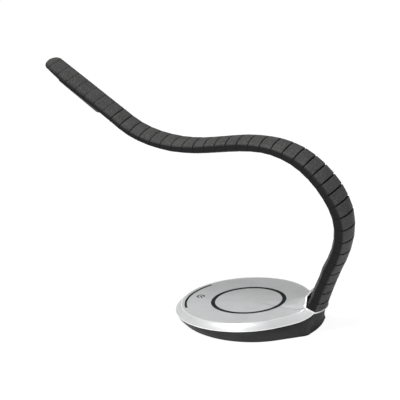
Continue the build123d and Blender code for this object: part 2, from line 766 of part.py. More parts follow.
with BuildPart() as arm_anchor:
    extrude(to_extrude=section(root, 1), amount=-anchor_length)
    split(bisect_by=Plane.XY.offset(anchor_seat_z), keep=Keep.TOP)
    add(base_hollow(arm_clearance), mode=Mode.INTERSECT)
    add(barrel(root, 1, cup_clearance), mode=Mode.SUBTRACT)
    add(cup_fittings(root, 1))
    add(lead_way(root, -anchor_length, 0), mode=Mode.SUBTRACT)
    add(anchor_pocket(), mode=Mode.SUBTRACT)
    add(columns(anchor_points, screw_r + screw_hole_clearance, 0, anchor_seat_z + anchor_foot_t),
        mode=Mode.SUBTRACT)
save(arm_anchor.part, "arm_anchor")

# --- vertebrae ----------------------------------------------------------------------------
for hinge in range(1, hinge_count):
    save(make_vertebra(hinge, frames), f"link_{hinge:02d}")

# --- head ---------------------------------------------------------------------------------
head = frames[hinge_count - 1]
housing_l = (groove_count - hinge_count) * pitch
bar_z = bar_start * pitch
bar_middle = bar_z + bar_l / 2
bar_groove = hinge_count + bar_middle / pitch
front = -tapered(inner_t, bar_groove) - bar_h
spreader_low = ceiling - spreader_t
led_board_low = spreader_low - led_board_t


def head_plate(low, high, inset, corner_r=0.0):
    """A plate of the light bar's outline, moved in, between two distances from the hinge plane."""
    face = Plane(origin=head.origin + head.z_dir * bar_middle + head.x_dir * low,
                 x_dir=head.z_dir, z_dir=head.x_dir)
    with BuildPart() as plate:
        with BuildSketch(face):
            if corner_r:
                RectangleRounded(bar_l - 2 * inset, bar_w - 2 * inset, corner_r)
            else:
                Rectangle(bar_l - 2 * inset, bar_w - 2 * inset)
        extrude(amount=high - low)
    return plate.part


def groove_cut(groove):
    """A moulded groove round the head."""
    plane = head.offset((groove - hinge_count) * pitch - groove_w / 2)
    with BuildPart() as cut:
        extrude(to_extrude=section(plane, groove, 1.0), amount=groove_w)
        extrude(to_extrude=section(plane, groove, -groove_d), amount=groove_w, mode=Mode.SUBTRACT)
    return cut.part


def spigot(gap):
    """The tip cap's spigot, grown by a gap for its pocket."""
    with BuildPart() as block:
        with BuildSketch(head.offset(housing_l)):
            Rectangle(spigot_t + 2 * gap, spigot_w + 2 * gap)
        extrude(amount=-spigot_l - gap)
    return block.part


end_plane = head.offset(housing_l)
with BuildPart() as head_housing:
    add(hinged_body(head, hinge_count, hinge_count + 1, groove_count))
    add(head_plate(front, ceiling, -fit_gap, bar_corner_r), mode=Mode.SUBTRACT)
    add(lead_way(head, 0, bar_z + pitch / 2), mode=Mode.SUBTRACT)
    add(spigot(fit_gap), mode=Mode.SUBTRACT)
    for groove in range(hinge_count + 1, groove_count):
        add(groove_cut(groove), mode=Mode.SUBTRACT)
save(head_housing.part, "head_housing")


def tip_section(step):
    """The last section drawn in as the tip rounds off: half an ellipse in plan, thinner at its end."""
    narrow, thin = sqrt(1 - (tip_round * step)**2), 1 - tip_thinning * step**3
    half = half_section(groove_count)
    return mirrored_face(end_plane.offset(tip_l * step), [(x * thin, y * narrow) for x, y in half])


with BuildPart() as tip_cap:
    loft(sections=[tip_section(step) for step in tip_steps], ruled=True)
    add(spigot(0))
save(tip_cap.part, "tip_cap")

with BuildPart() as heat_spreader:
    add(head_plate(spreader_low, ceiling, fit_gap, bar_corner_r))
save(heat_spreader.part, "heat_spreader")

with BuildPart() as led_board:
    add(head_plate(led_board_low, spreader_low, fit_gap, bar_corner_r))
save(led_board.part, "led_board")

with BuildPart() as led_packages:
    led_face = Plane(origin=head.origin + head.z_dir * bar_middle + head.x_dir * led_board_low,
                     x_dir=head.z_dir, z_dir=-head.x_dir)
    with BuildSketch(led_face):
        with GridLocations((bar_l - 2 * bar_wall - 2 * led_l) / (led_count - 1), 1, led_count, 1):
            Rectangle(led_l, led_w)
    extrude(amount=led_t)
save(led_packages.part, "led_packages")

with BuildPart() as light_frame:
    add(head_plate(front, led_board_low, 0, bar_corner_r))
    add(head_plate(front + lens_ledge, led_board_low, bar_wall, bar_corner_r - bar_wall), mode=Mode.SUBTRACT)
    add(head_plate(front, front + lens_ledge, bar_wall + lens_ledge, bar_corner_r - bar_wall), mode=Mode.SUBTRACT)
save(light_frame.part, "light_frame")

with BuildPart() as diffuser_lens:
    add(head_plate(front + lens_ledge, front + lens_ledge + lens_t, bar_wall + fit_gap, bar_corner_r - bar_wall))
save(diffuser_lens.part, "diffuser_lens")

head_lead = lead_section(head, lead_end_gap, bar_z - fit_gap)
save(head_lead, "head_lead")
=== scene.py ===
import json
import logging
from dataclasses import dataclass, field
from enum import Enum
from math import cos, radians, sin, tan

import bpy
import numpy as np
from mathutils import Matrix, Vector


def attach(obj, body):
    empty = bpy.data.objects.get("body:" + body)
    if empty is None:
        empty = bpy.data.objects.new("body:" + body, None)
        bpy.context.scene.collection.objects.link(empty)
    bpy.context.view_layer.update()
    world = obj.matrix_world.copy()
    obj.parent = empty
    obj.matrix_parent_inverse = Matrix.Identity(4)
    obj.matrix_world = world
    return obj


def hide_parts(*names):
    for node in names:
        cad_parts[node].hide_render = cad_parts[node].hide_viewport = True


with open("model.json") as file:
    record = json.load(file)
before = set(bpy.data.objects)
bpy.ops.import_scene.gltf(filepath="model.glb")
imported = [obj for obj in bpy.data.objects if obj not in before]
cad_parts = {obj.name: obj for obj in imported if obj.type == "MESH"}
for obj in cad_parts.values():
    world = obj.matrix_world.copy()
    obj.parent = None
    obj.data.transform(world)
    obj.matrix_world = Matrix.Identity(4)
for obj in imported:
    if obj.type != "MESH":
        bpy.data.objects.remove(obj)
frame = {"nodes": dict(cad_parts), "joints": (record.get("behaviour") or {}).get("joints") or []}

log = logging.getLogger("desk_lamp")
MM = 0.001
FINE_N = 960  # points of the fine line from which a softened outline is averaged
CLOUDS = 55.0  # worn patches per metre
WORN_STEP = (0.38, 0.72)  # cloudy noise at which the worn colour starts and is full
FLECK_STEP = (0.44, 0.64)  # fine noise at which a fleck starts and is full
COAT_ROUGHNESS = 0.2
RELIEF = 0.2 * MM
Array = np.ndarray
Socket = bpy.types.NodeSocket
Triple = tuple[float, float, float]


# --- surfaces ------------------------------------------------------------------------------
def resampled(points: Array, count: int, closed: bool = True) -> Array:
    """Spread points evenly along a line.

    Args:
        points: the line's corners, one row each.
        count: how many points to return.
        closed: whether the line runs back to its first point.

    Returns:
        count points at equal distances along the line.
    """
    line = np.vstack([points, points[:1]]) if closed else points
    way = np.concatenate([[0.0], np.cumsum(np.linalg.norm(np.diff(line, axis=0), axis=1))])
    at = np.linspace(0.0, way[-1], count, endpoint=not closed)
    return np.stack([np.interp(at, way, line[:, i]) for i in range(line.shape[1])], axis=1)


def softened(points: Array, window: float, count: int) -> Array:
    """Round a closed outline's corners: each point becomes the mean of the outline within a window.

    Args:
        points: the outline's corners.
        window: length of outline over which the mean is taken.
        count: how many points to return, starting at the first corner.

    Returns:
        The softened outline.
    """
    fine = resampled(points, FINE_N)
    step = np.linalg.norm(fine[1] - fine[0])
    half = max(1, int(round(window / 2 / step)))
    shifts = np.arange(-half, half + 1)
    mean = fine[(np.arange(FINE_N)[:, None] + shifts) % FINE_N].mean(axis=1)
    return mean[:: FINE_N // count][:count] if FINE_N % count == 0 else resampled(mean, count)


def put_mesh(name: str, points: Array, faces: Array, marks: dict[str, Array]) -> bpy.types.Object:
    """Make an object from vertices and faces.

    Args:
        name: the object's name.
        points: vertices in millimetres, one row each.
        faces: quads as four indices each; a triangle repeats its last index.
        marks: a number per vertex under each attribute name.

    Returns:
        The object, at the origin, with smooth faces that point outwards.
    """
    a, b, c, d = (points[faces[:, i]] for i in range(4))
    volume = np.einsum("ij,ij->", a, np.cross(b, c)) + np.einsum("ij,ij->", a, np.cross(c, d))
    if volume < 0:
        faces = faces[:, ::-1]
    mesh = bpy.data.meshes.new(name)
    rows = [list(dict.fromkeys(face)) for face in faces.tolist()]
    mesh.from_pydata((points * MM).tolist(), [], rows)
    mesh.polygons.foreach_set("use_smooth", np.ones(len(mesh.polygons), dtype=bool))
    for label, values in marks.items():
        mesh.attributes.new(label, "FLOAT", "POINT").data.foreach_set("value", values.astype(np.float32))
    mesh.update()
    piece = bpy.data.objects.new(name, mesh)
    bpy.context.scene.collection.objects.link(piece)
    return piece


class End(Enum):
    """How a surface of rings ends: in a point, in a slit across its width, or in its own first ring."""

    POINT = "point"
    SLIT = "slit"
    LOOP = "loop"


@dataclass
class Skin:
    """A closed surface of rings: P(i, j) is point j of ring i.

    Attributes:
        rings: (rows, columns, 3) in millimetres.
        first: how the first ring is closed.
        last: how the last ring is closed.
        marks: (rows, columns) arrays of attribute values.
    """

    rings: Array
    first: End = End.POINT
    last: End = End.POINT
    marks: dict[str, Array] = field(default_factory=dict)

    @staticmethod
    def slit(ring: Array) -> Array:
        """Faces that join each point of a ring to its mirror image, point j to point n / 2 - j.

        Args:
            ring: the ring's vertex numbers.

        Returns:
            Four vertex numbers for each face.
        """
        half = len(ring) // 2
        j = np.arange(-half // 2, half // 2)
        return ring[np.stack([j + 1, j, half - j, half - j - 1], axis=-1) % len(ring)]

    def build(self, name: str) -> bpy.types.Object:
        """Join the rings with quads and close the ends.

        Args:
            name: the object's name.

        Returns:
            The finished object.
        """
        rows, columns = self.rings.shape[:2]
        index = np.arange(rows * columns).reshape(rows, columns)
        looped = self.first is End.LOOP
        upper = np.roll(index, -1, axis=0) if looped else index[1:]
        lower = index if looped else index[:-1]
        quads = np.stack([lower, np.roll(lower, -1, axis=1), np.roll(upper, -1, axis=1), upper], axis=-1)
        faces = [quads.reshape(-1, 4)]
        points = [self.rings.reshape(-1, 3)]
        values = {label: [mark.reshape(-1)] for label, mark in self.marks.items()}
        for row, end, turned in ((0, self.first, False), (rows - 1, self.last, True)):
            if end is End.LOOP:
                continue
            if end is End.SLIT:
                cover = self.slit(index[row])
            else:
                pole = np.full(columns, rows * columns + len(points) - 1)
                cover = np.stack([np.roll(index[row], -1), index[row], pole, pole], axis=-1)
                points.append(self.rings[row].mean(axis=0, keepdims=True))
                for label, mark in self.marks.items():
                    values[label].append(mark[row].mean(keepdims=True))
            faces.append(cover[:, [1, 0, 3, 2]] if turned else cover)
        joined = {label: np.concatenate(parts) for label, parts in values.items()}
        return put_mesh(name, np.concatenate(points), np.concatenate(faces), joined)


def strip(path: Array, up: Array, half_width: float, top: float, bottom: float, closed: bool) -> Skin:
    """A flat strip along a path: P(i, j) = path(i) + w(j) side(i) + h(j) up.

    Its profile is a rounded box: w and h are the cosine and the sine, each to the power given below.

    Args:
        path: the strip's middle line.
        up: the direction in which it stands up.
        half_width: half its width.
        top: height of its upper face over the path.
        bottom: height of its lower face.
        closed: whether the path is a loop.

    Returns:
        The strip as a surface of rings.
    """
    run = np.roll(path, -1, axis=0) - np.roll(path, 1, axis=0) if closed else np.gradient(path, axis=0)
    side = np.cross(run, up)
    side /= np.linalg.norm(side, axis=1, keepdims=True)
    columns, power = 16, 0.25
    turn = np.linspace(0.0, 2 * np.pi, columns, endpoint=False) + np.pi / columns
    wide = np.sign(np.cos(turn)) * np.abs(np.cos(turn)) ** power * half_width
    high = np.sign(np.sin(turn)) * np.abs(np.sin(turn)) ** power * (top - bottom) / 2 + (top + bottom) / 2
    rings = path[:, None, :] + side[:, None, :] * wide[None, :, None] + up * high[None, :, None]
    end = End.LOOP if closed else End.POINT
    return Skin(rings, end, end)


# --- finishes ------------------------------------------------------------------------------
class Grain(Enum):
    """The surface structure under a finish."""

    SMOOTH = "smooth"
    PEBBLED = "pebbled"
    BRUSHED = "brushed"
    HIDE = "hide"


@dataclass(frozen=True)
class Finish:
    """A moulded, painted or metal surface with its own grain, wear and gloss.

    Attributes:
        name: name of the material.
        slot: the record's material slot; not used.
        colour: main colour.
        worn: colour of its rubbed and dusty spots.
        roughness: mean roughness.
        spread: how far the roughness varies.
        metallic: share of metal.
        grain: its surface structure.
        grain_size: size of the grain in millimetres.
        depth: strength of the grain's relief.
        mark: vertex attribute that blends in the second colour, or "".
        second: colour where that attribute is 1, painted light: a highlight on the cap's beads, shade on
            the arm's side faces.
        second_roughness: roughness there.
        coat: strength of the clear coat.
        specular: strength of its highlights.
        fleck: colour of its fine lighter flecks.
    """

    name: str
    slot: str
    colour: Triple
    worn: Triple
    roughness: float
    spread: float = 0.08
    metallic: float = 0.0
    grain: Grain = Grain.SMOOTH
    grain_size: float = 0.6
    depth: float = 0.15
    mark: str = ""
    second: Triple = (0.0, 0.0, 0.0)
    second_roughness: float = 0.4
    coat: float = 0.0
    specular: float = 0.5
    fleck: Triple | None = None

    def make(self) -> bpy.types.Material:
        """Build the material's nodes once.

        Returns:
            The material.
        """
        known = bpy.data.materials.get(self.name)
        if known:
            return known
        material = bpy.data.materials.new(self.name)
        material.use_nodes = True
        graph = Graph(material.node_tree)
        place = graph.node("ShaderNodeTexCoord", "Object")
        frequency = 1 / (self.grain_size * MM)
        patches = graph.ramp(graph.noise(place, CLOUDS, 4.0), *WORN_STEP)
        colour = graph.mix(patches, self.colour, self.worn)
        if self.fleck:
            fine = graph.noise(place, 2 * frequency, 2.0)
            colour = graph.mix(graph.ramp(fine, *FLECK_STEP), colour, self.fleck)
        speckle = graph.noise(place, frequency, 2.0)
        rough = graph.span(speckle, self.roughness - self.spread, self.roughness + self.spread)
        # marked vertices get painted light: a highlight on the cap's beads, shade on the arm's side faces
        if self.mark:
            share = graph.node("ShaderNodeAttribute", "Fac", attribute_name=self.mark)
            colour = graph.mix(share, colour, self.second)
            rough = graph.blend(share, rough, self.second_roughness)
        graph.feed(graph.shader, {
            "Base Color": colour, "Roughness": rough, "Metallic": self.metallic,
            "Specular IOR Level": self.specular, "Coat Weight": self.coat, "Coat Roughness": COAT_ROUGHNESS,
        })
        graph.relief(self.structure(graph, place, frequency), self.depth)
        return material

    def structure(self, graph: "Graph", place: Socket, frequency: float) -> Socket:
        """The grain's height.

        Args:
            graph: the material's nodes.
            place: coordinates on the piece.
            frequency: grains per metre.

        Returns:
            The socket that carries the height.
        """
        if self.grain is Grain.PEBBLED:
            return graph.cells(place, frequency)
        if self.grain is Grain.HIDE:
            creases = graph.noise(place, frequency * 2.3, 3.0)
            return graph.product(graph.cells(place, frequency), creases)
        if self.grain is Grain.BRUSHED:
            return graph.noise(graph.stretched(place, (1.0, 24.0, 24.0)), frequency / 6, 2.0)
        return graph.noise(place, frequency, 5.0)

    def wear(self, piece: bpy.types.Object) -> None:
        """Give this finish to a piece.

        Args:
            piece: the mesh that wears it.
        """
        piece.data.materials.clear()
        piece.data.materials.append(self.make())


class Graph:
    """Short ways to the node kinds that the finishes are made of."""

    def __init__(self, tree: bpy.types.NodeTree, shader: str = "Principled BSDF") -> None:
        """Start from the nodes that a new material or world has.

        Args:
            tree: its node tree.
            shader: name of its first shader.
        """
        self.tree = tree
        self.shader = tree.nodes[shader]

    def feed(self, node: bpy.types.Node, values: dict[str | int, object]) -> None:
        """Feed a node's inputs.

        Args:
            node: the node.
            values: a socket, colour or number for each input's name or place.
        """
        for key, value in values.items():
            target = node.inputs[key]
            if isinstance(value, Socket):
                self.tree.links.new(value, target)
            else:
                target.default_value = (*value, 1.0) if target.type == "RGBA" else value

    def node(self, kind: str, output: str | int, values: dict[str | int, object] | None = None,
             **options: str) -> Socket:
        """Add a node, set its options and feed it.

        Args:
            kind: the node's type.
            output: name or place of the output that is wanted.
            values: what its inputs get.
            options: its own settings.

        Returns:
            The output's socket.
        """
        made = self.tree.nodes.new(kind)
        for option, choice in options.items():
            setattr(made, option, choice)
        self.feed(made, values or {})
        return made.outputs[output]

    def noise(self, place: Socket, scale: float, detail: float) -> Socket:
        """Cloudy noise at a scale per metre."""
        return self.node("ShaderNodeTexNoise", "Fac", {"Vector": place, "Scale": scale, "Detail": detail})

    def cells(self, place: Socket, scale: float) -> Socket:
        """Rounded pebbles at a scale per metre."""
        values = {"Vector": place, "Scale": scale}
        return self.node("ShaderNodeTexVoronoi", "Distance", values, feature="SMOOTH_F1")

    def stretched(self, place: Socket, scale: Triple) -> Socket:
        """Coordinates stretched along the axes."""
        return self.node("ShaderNodeMapping", "Vector", {"Vector": place, "Scale": scale})

    def ramp(self, value: Socket, low: float, high: float) -> Socket:
        """A smooth step from 0 at one value to 1 at another."""
        values = {"Value": value, "From Min": low, "From Max": high}
        return self.node("ShaderNodeMapRange", "Result", values, interpolation_type="SMOOTHSTEP")

    def span(self, value: Socket, low: float, high: float) -> Socket:
        """A value between 0 and 1 moved to a range."""
        return self.node("ShaderNodeMapRange", "Result", {"Value": value, "To Min": low, "To Max": high})

    def mix(self, share: Socket, first: object, second: object) -> Socket:
        """Two colours mixed by a share."""
        return self.node("ShaderNodeMix", 2, {0: share, 6: first, 7: second}, data_type="RGBA")

    def blend(self, share: Socket, first: object, second: object) -> Socket:
        """Two numbers mixed by a share."""
        return self.node("ShaderNodeMix", 0, {0: share, 2: first, 3: second}, data_type="FLOAT")

    def product(self, first: Socket, second: object) -> Socket:
        """Two numbers multiplied."""
        return self.node("ShaderNodeMath", 0, {0: first, 1: second}, operation="MULTIPLY")

    def mix_shader(self, share: Socket, first: Socket, second: Socket) -> Socket:
        """Two shaders mixed by a share."""
        return self.node("ShaderNodeMixShader", 0, {0: share, 1: first, 2: second})

    def relief(self, height: Socket, depth: float) -> None:
        """Use a height as the surface's relief."""
        values = {"Strength": depth, "Distance": RELIEF, "Height": height}
        self.feed(self.shader, {"Normal": self.node("ShaderNodeBump", "Normal", values)})


# the cap's mark blends in a near-white colour: a painted highlight on the edge beads, whose bulge is real
# geometry
SILVER = Finish("silver_paint", "silver_cap", (0.6, 0.605, 0.61), (0.56, 0.565, 0.57), 0.35, 0.05, 0.32,
                Grain.SMOOTH, 0.35, 0.04, "bead", (0.92, 0.92, 0.91), 0.2, coat=0.2)
SHELL = Finish("shell_plastic", "black_shell", (0.011, 0.011, 0.012), (0.017, 0.017, 0.017), 0.42, 0.07,
               grain=Grain.PEBBLED, grain_size=0.5, depth=0.2, specular=0.3)
# the arm's mark blends in a near-black colour: painted shade on the arm's side faces
ARM = Finish("arm_skin", "arm_black", (0.03, 0.03, 0.03), (0.046, 0.045, 0.044), 0.56, 0.1,
             grain=Grain.HIDE, grain_size=1.6, depth=0.8, mark="flank", second=(0.006, 0.006, 0.007),
             second_roughness=0.55, specular=0.15, fleck=(0.09, 0.088, 0.087))
TRIM = Finish("trim_bright", "bright_trim", (0.93, 0.93, 0.92), (0.86, 0.86, 0.85), 0.2, 0.05, 0.35,
              Grain.BRUSHED, 0.5, 0.05)
INLAY = Finish("inlay_dark", "dark_inlay", (0.006, 0.011, 0.012), (0.01, 0.015, 0.016), 0.6, 0.06,
               grain=Grain.SMOOTH, grain_size=0.4, depth=0.06, specular=0.15)
BAR = Finish("bar_black_gloss", "bar_black", (0.022, 0.024, 0.03), (0.035, 0.037, 0.042), 0.24, 0.05,
             grain=Grain.SMOOTH, grain_size=0.5, depth=0.05, coat=0.4)
LENS = Finish("lens_opal", "lens_white", (0.9, 0.9, 0.88), (0.86, 0.86, 0.83), 0.45, 0.05,
              grain=Grain.SMOOTH, grain_size=0.4, depth=0.1)
RUBBER = Finish("foot_rubber_black", "foot_rubber", (0.025, 0.025, 0.025), (0.05, 0.05, 0.05), 0.85, 0.08,
                grain=Grain.PEBBLED, grain_size=0.8, depth=0.3)
BALLAST = Finish("ballast_zinc", "ballast_steel", (0.4, 0.41, 0.42), (0.3, 0.29, 0.28), 0.4, 0.1, 1.0,
                 Grain.BRUSHED, 0.8, 0.12)
FOAM = Finish("pad_foam", "grey_foam", (0.16, 0.16, 0.17), (0.2, 0.2, 0.2), 0.9, 0.05,
              grain=Grain.PEBBLED, grain_size=0.7, depth=0.5)
BOARD = Finish("board_laminate", "board", (0.02, 0.13, 0.06), (0.03, 0.16, 0.08), 0.38, 0.08,
               grain=Grain.SMOOTH, grain_size=0.4, depth=0.08, coat=0.3)
STEEL = Finish("screw_steel", "bright_steel", (0.6, 0.6, 0.61), (0.5, 0.49, 0.48), 0.28, 0.07, 1.0,
               Grain.BRUSHED, 0.4, 0.08)
SHEATH = Finish("lead_sheath_grey", "lead_sheath", (0.03, 0.03, 0.032), (0.045, 0.045, 0.045), 0.5, 0.06,
                grain=Grain.SMOOTH, grain_size=0.4, depth=0.1)
CHIP = Finish("led_phosphor", "led_yellow", (0.85, 0.7, 0.2), (0.8, 0.62, 0.16), 0.4, 0.05,
              grain=Grain.SMOOTH, grain_size=0.3, depth=0.05)
SPREADER = Finish("spreader_metal", "spreader_alu", (0.72, 0.73, 0.74), (0.62, 0.63, 0.64), 0.35, 0.08, 1.0,
                  Grain.BRUSHED, 0.6, 0.1)

NODE_FINISHES: dict[str, Finish] = {
    "foot_pad": RUBBER, "ballast_plate": BALLAST, "board_pad": FOAM, "control_board": BOARD,
    "touch_board": BOARD, "power_inlet": STEEL, "base_lead": SHEATH, "inlet_lead": SHEATH,
    "case_screws": STEEL, "anchor_screws": STEEL, "heat_spreader": SPREADER, "led_board": BOARD,
    "led_packages": CHIP, "light_frame": BAR, "diffuser_lens": LENS, "head_lead": SHEATH,
}


def settle(piece: bpy.types.Object, finish: Finish, body: str, *nodes: str) -> bpy.types.Object:
    """Dress a piece, put it on its body and let it stand for its nodes.

    Args:
        piece: the new piece.
        finish: what it wears.
        body: the body that carries it.
        nodes: the nodes that it replaces.

    Returns:
        The same piece.
    """
    finish.wear(piece)
    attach(piece, body)
    if nodes:
        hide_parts(*nodes)
    log.info("%s on %s, %d faces", piece.name, body, len(piece.data.polygons))
    return piece


# --- arm -----------------------------------------------------------------------------------
@dataclass
class ArmSection:
    """The arm's outline at any groove, straight lines between the first groove's size and the last's.

    Attributes:
        columns: points round the outline.
        grooves: grooves in all.
        crown, edge, outer_w: the outer face's middle, its edges and half its width.
        side_w, side_out, side_in: half the whole width, and where the side faces end.
        inner, inner_w: depth and half width of the inner face.
        soft: length of outline over which its corners are rounded.
        inset: how far the barrel lies under the skin.
        depth: depth of the grooves across the outer face.
        inner_fade, outer_fade: start past the side's corner and length of the steps in the share of painted
            shade.
        flank_from: share of the side's half width from which a point gets the painted shade.
        knots: grooves at which sway and swell are given.
        sway: how far the outline is moved outwards there.
        swell: how far it is widened there.
        keel: how far its inner side is deepened there.
    """

    columns: int = 96
    grooves: int = 39
    crown: tuple[float, float] = (10.0, 4.6)
    edge: tuple[float, float] = (7.0, 3.2)
    outer_w: tuple[float, float] = (15.8, 14.0)
    side_w: tuple[float, float] = (18.4, 16.2)
    side_out: tuple[float, float] = (4.6, 2.2)
    side_in: tuple[float, float] = (2.9, 1.1)
    inner: tuple[float, float] = (7.0, 2.9)
    inner_w: tuple[float, float] = (10.4, 9.2)
    soft: float = 1.6
    inset: float = 0.35
    depth: float = 1.3
    inner_fade: tuple[float, float] = (1.1, 1.2)
    outer_fade: tuple[float, float] = (1.5, 1.6)
    flank_from: float = 0.6
    knots: tuple[float, ...] = (0, 1, 3, 4, 5, 6, 7, 8, 9, 11, 13, 15, 16, 18, 20, 23, 24, 26, 28, 30, 32,
                                34, 36, 37, 39)
    sway: tuple[float, ...] = (0.2, 0.2, -0.1, -0.7, -0.45, 0.0, 0.7, 1.65, 2.3, 2.3, 1.45, 0.85, 0.35,
                               0.15, 0.8, 0.4, 0.05, -0.55, -0.35, 0.3, 1.3, 0.7, 0.25, 0.0, -0.5)
    swell: tuple[float, ...] = (0.4, 0.0, 0.0, 0.0, -0.25, -0.5, -0.15, 0.2, 1.2, 2.2, 1.6, 0.95, 0.6, -0.2,
                                -0.4, -0.4, -0.05, 0.6, 0.85, 0.8, 0.4, 0.6, 0.8, 0.8, 0.8)
    keel: tuple[float, ...] = (1.9, -0.3, -0.5, 0.5, 0.5, 0.6, 0.85, 1.2, 1.1, 0.6, 0.4, 0.3, 0.2, 0.05,
                               0.85, 0.95, 0.7, 0.35, -0.2, -0.4, -0.4, -0.55, 0.05, 0.25, -2.0)

    def at(self, pair: tuple[float, float], groove: float) -> float:
        """A size at a groove."""
        return pair[0] + (pair[1] - pair[0]) * (groove - 1) / (self.grooves - 1)

    def drift(self, groove: float) -> Triple:
        """Sway, swell and keel at a groove."""
        rows = (self.sway, self.swell, self.keel)
        return tuple(float(np.interp(groove, self.knots, row)) for row in rows)

    def outline(self, groove: float, grow: float = 0.0) -> Array:
        """The outline: the outer face is the parabola x = crown - (crown - edge)(y / w)^2.

        Args:
            groove: where along the arm, counted in grooves.
            grow: how far the outline is moved out.

        Returns:
            (columns, 2) points, outward distance and width, from the crown's middle round.
        """
        sway, swell, keel = self.drift(groove)
        crown, edge = (self.at(size, groove) + sway + grow for size in (self.crown, self.edge))
        width, side = (self.at(size, groove) + swell + grow for size in (self.outer_w, self.side_w))
        out, low = self.at(self.side_out, groove) + sway, sway - self.at(self.side_in, groove) - keel
        inner = sway - self.at(self.inner, groove) - keel - grow
        inner_w = self.at(self.inner_w, groove) + swell
        y = np.linspace(0.0, width, 20)
        face = np.stack([crown - (crown - edge) * (y / width) ** 2, y], axis=1)
        rest = np.array([(out, side), (low, side), (inner, inner_w), (inner, 0.0)])
        half = np.vstack([face, rest])
        whole = np.vstack([half, half[-2:0:-1] * (1.0, -1.0)])
        return softened(whole, self.soft, self.columns)

    def flank(self, groove: float, outline: Array) -> Array:
        """Share of painted shade: 1 on the side faces and 0 on the others, a smooth step at both of the
        side's corners.

        Args:
            groove: where along the arm.
            outline: points of an outline.

        Returns:
            One number per point.
        """
        sway, _, keel = self.drift(groove)
        low, out = sway - self.at(self.side_in, groove) - keel, self.at(self.side_out, groove) + sway
        rise = np.clip((outline[:, 0] - low + self.inner_fade[0]) / self.inner_fade[1], 0.0, 1.0)
        fall = np.clip((out + self.outer_fade[0] - outline[:, 0]) / self.outer_fade[1], 0.0, 1.0)
        return rise * fall * (np.abs(outline[:, 1]) > self.flank_from * self.at(self.side_w, groove))

    def barrel(self, groove: float, grow: float = 0.0) -> tuple[Array, Array]:
        """The barrel cut along the hinge line, inner side and, fuller, near the outer skin.

        Args:
            groove: the hinge's groove.
            grow: clearance that is added.

        Returns:
            Two outlines of (columns, 2) points, from the middle of the outer side: one symmetric to both
            axes, one whose outer half lies close under the outer face.
        """
        sway, swell, keel = self.drift(groove)
        deep = self.at(self.inner, groove) + keel - sway - self.inset + grow
        end = max(self.at(self.side_in, groove) + keel - sway - self.inset, 0.5) + grow
        near = self.at(self.inner_w, groove) + swell - self.inset
        far = self.at(self.side_w, groove) + swell - self.inset + grow
        crown, edge = (self.at(size, groove) + sway - self.depth + grow for size in (self.crown, self.edge))
        width = self.at(self.outer_w, groove) + swell - self.inset
        out = self.at(self.side_out, groove) + sway
        y = np.linspace(0.0, width, 12)
        full = np.vstack([np.stack([crown - (crown - edge) * (y / width) ** 2, y], axis=1),
                          [(out - self.inset, far), (0.0, far)]])
        count = self.columns // 4 + 1
        low = resampled(np.array([(deep, 0.0), (deep, near), (end, far), (0.0, far)]), count, False)
        full = resampled(full, count, False)
        pair = []
        for quarter in (low, full):
            half = np.vstack([quarter, low[-2::-1] * (-1.0, 1.0)])
            pair.append(np.vstack([half, half[-2:0:-1] * (1.0, -1.0)]))
        return pair[0], pair[1]


@dataclass
class Hinge:
    """One hinge line: where it is, which way the piece above it points, and how far it bends.

    Attributes:
        groove: its number.
        origin: a point on it, in millimetres.
        along: direction of the piece above it.
        bend: angle at rest between the piece below and the piece above.
        low: smallest turn from rest, in degrees.
        high: largest turn from rest.
    """

    groove: int
    origin: Array
    along: Array
    bend: float
    low: float
    high: float

    def closing(self, x: Array) -> Array:
        """The angle by which the gap closes at full bend, outwards where x is positive, else inwards."""
        return np.radians(np.where(x > 0, self.bend + self.high, -self.bend - self.low))

    def lift(self, x: Array, gap: float) -> Array:
        """Height over the hinge plane that stays clear: gap + max(x tan(out), -x tan(in)).

        Args:
            x: outward distances.
            gap: the clearance that stays at full bend.

        Returns:
            A height for each distance.
        """
        outwards, inwards = tan(radians(self.bend + self.high)), tan(radians(-self.bend - self.low))
        return gap + np.maximum(x * outwards, -x * inwards)

    def place(self, outline: Array, height: Array | float) -> Array:
        """Put an outline in the room: origin + x outward + y across + height along.

        Args:
            outline: outward distance and width of each point.
            height: height over the hinge, one for all or one each.

        Returns:
            The points in the part's frame, in millimetres.
        """
        outward = np.array([self.along[2], 0.0, -self.along[0]])
        across = np.array([0.0, 1.0, 0.0])
        tall = np.broadcast_to(height, outline.shape[:1])
        return (self.origin + outline[:, :1] * outward + outline[:, 1:] * across
                + tall[:, None] * self.along)


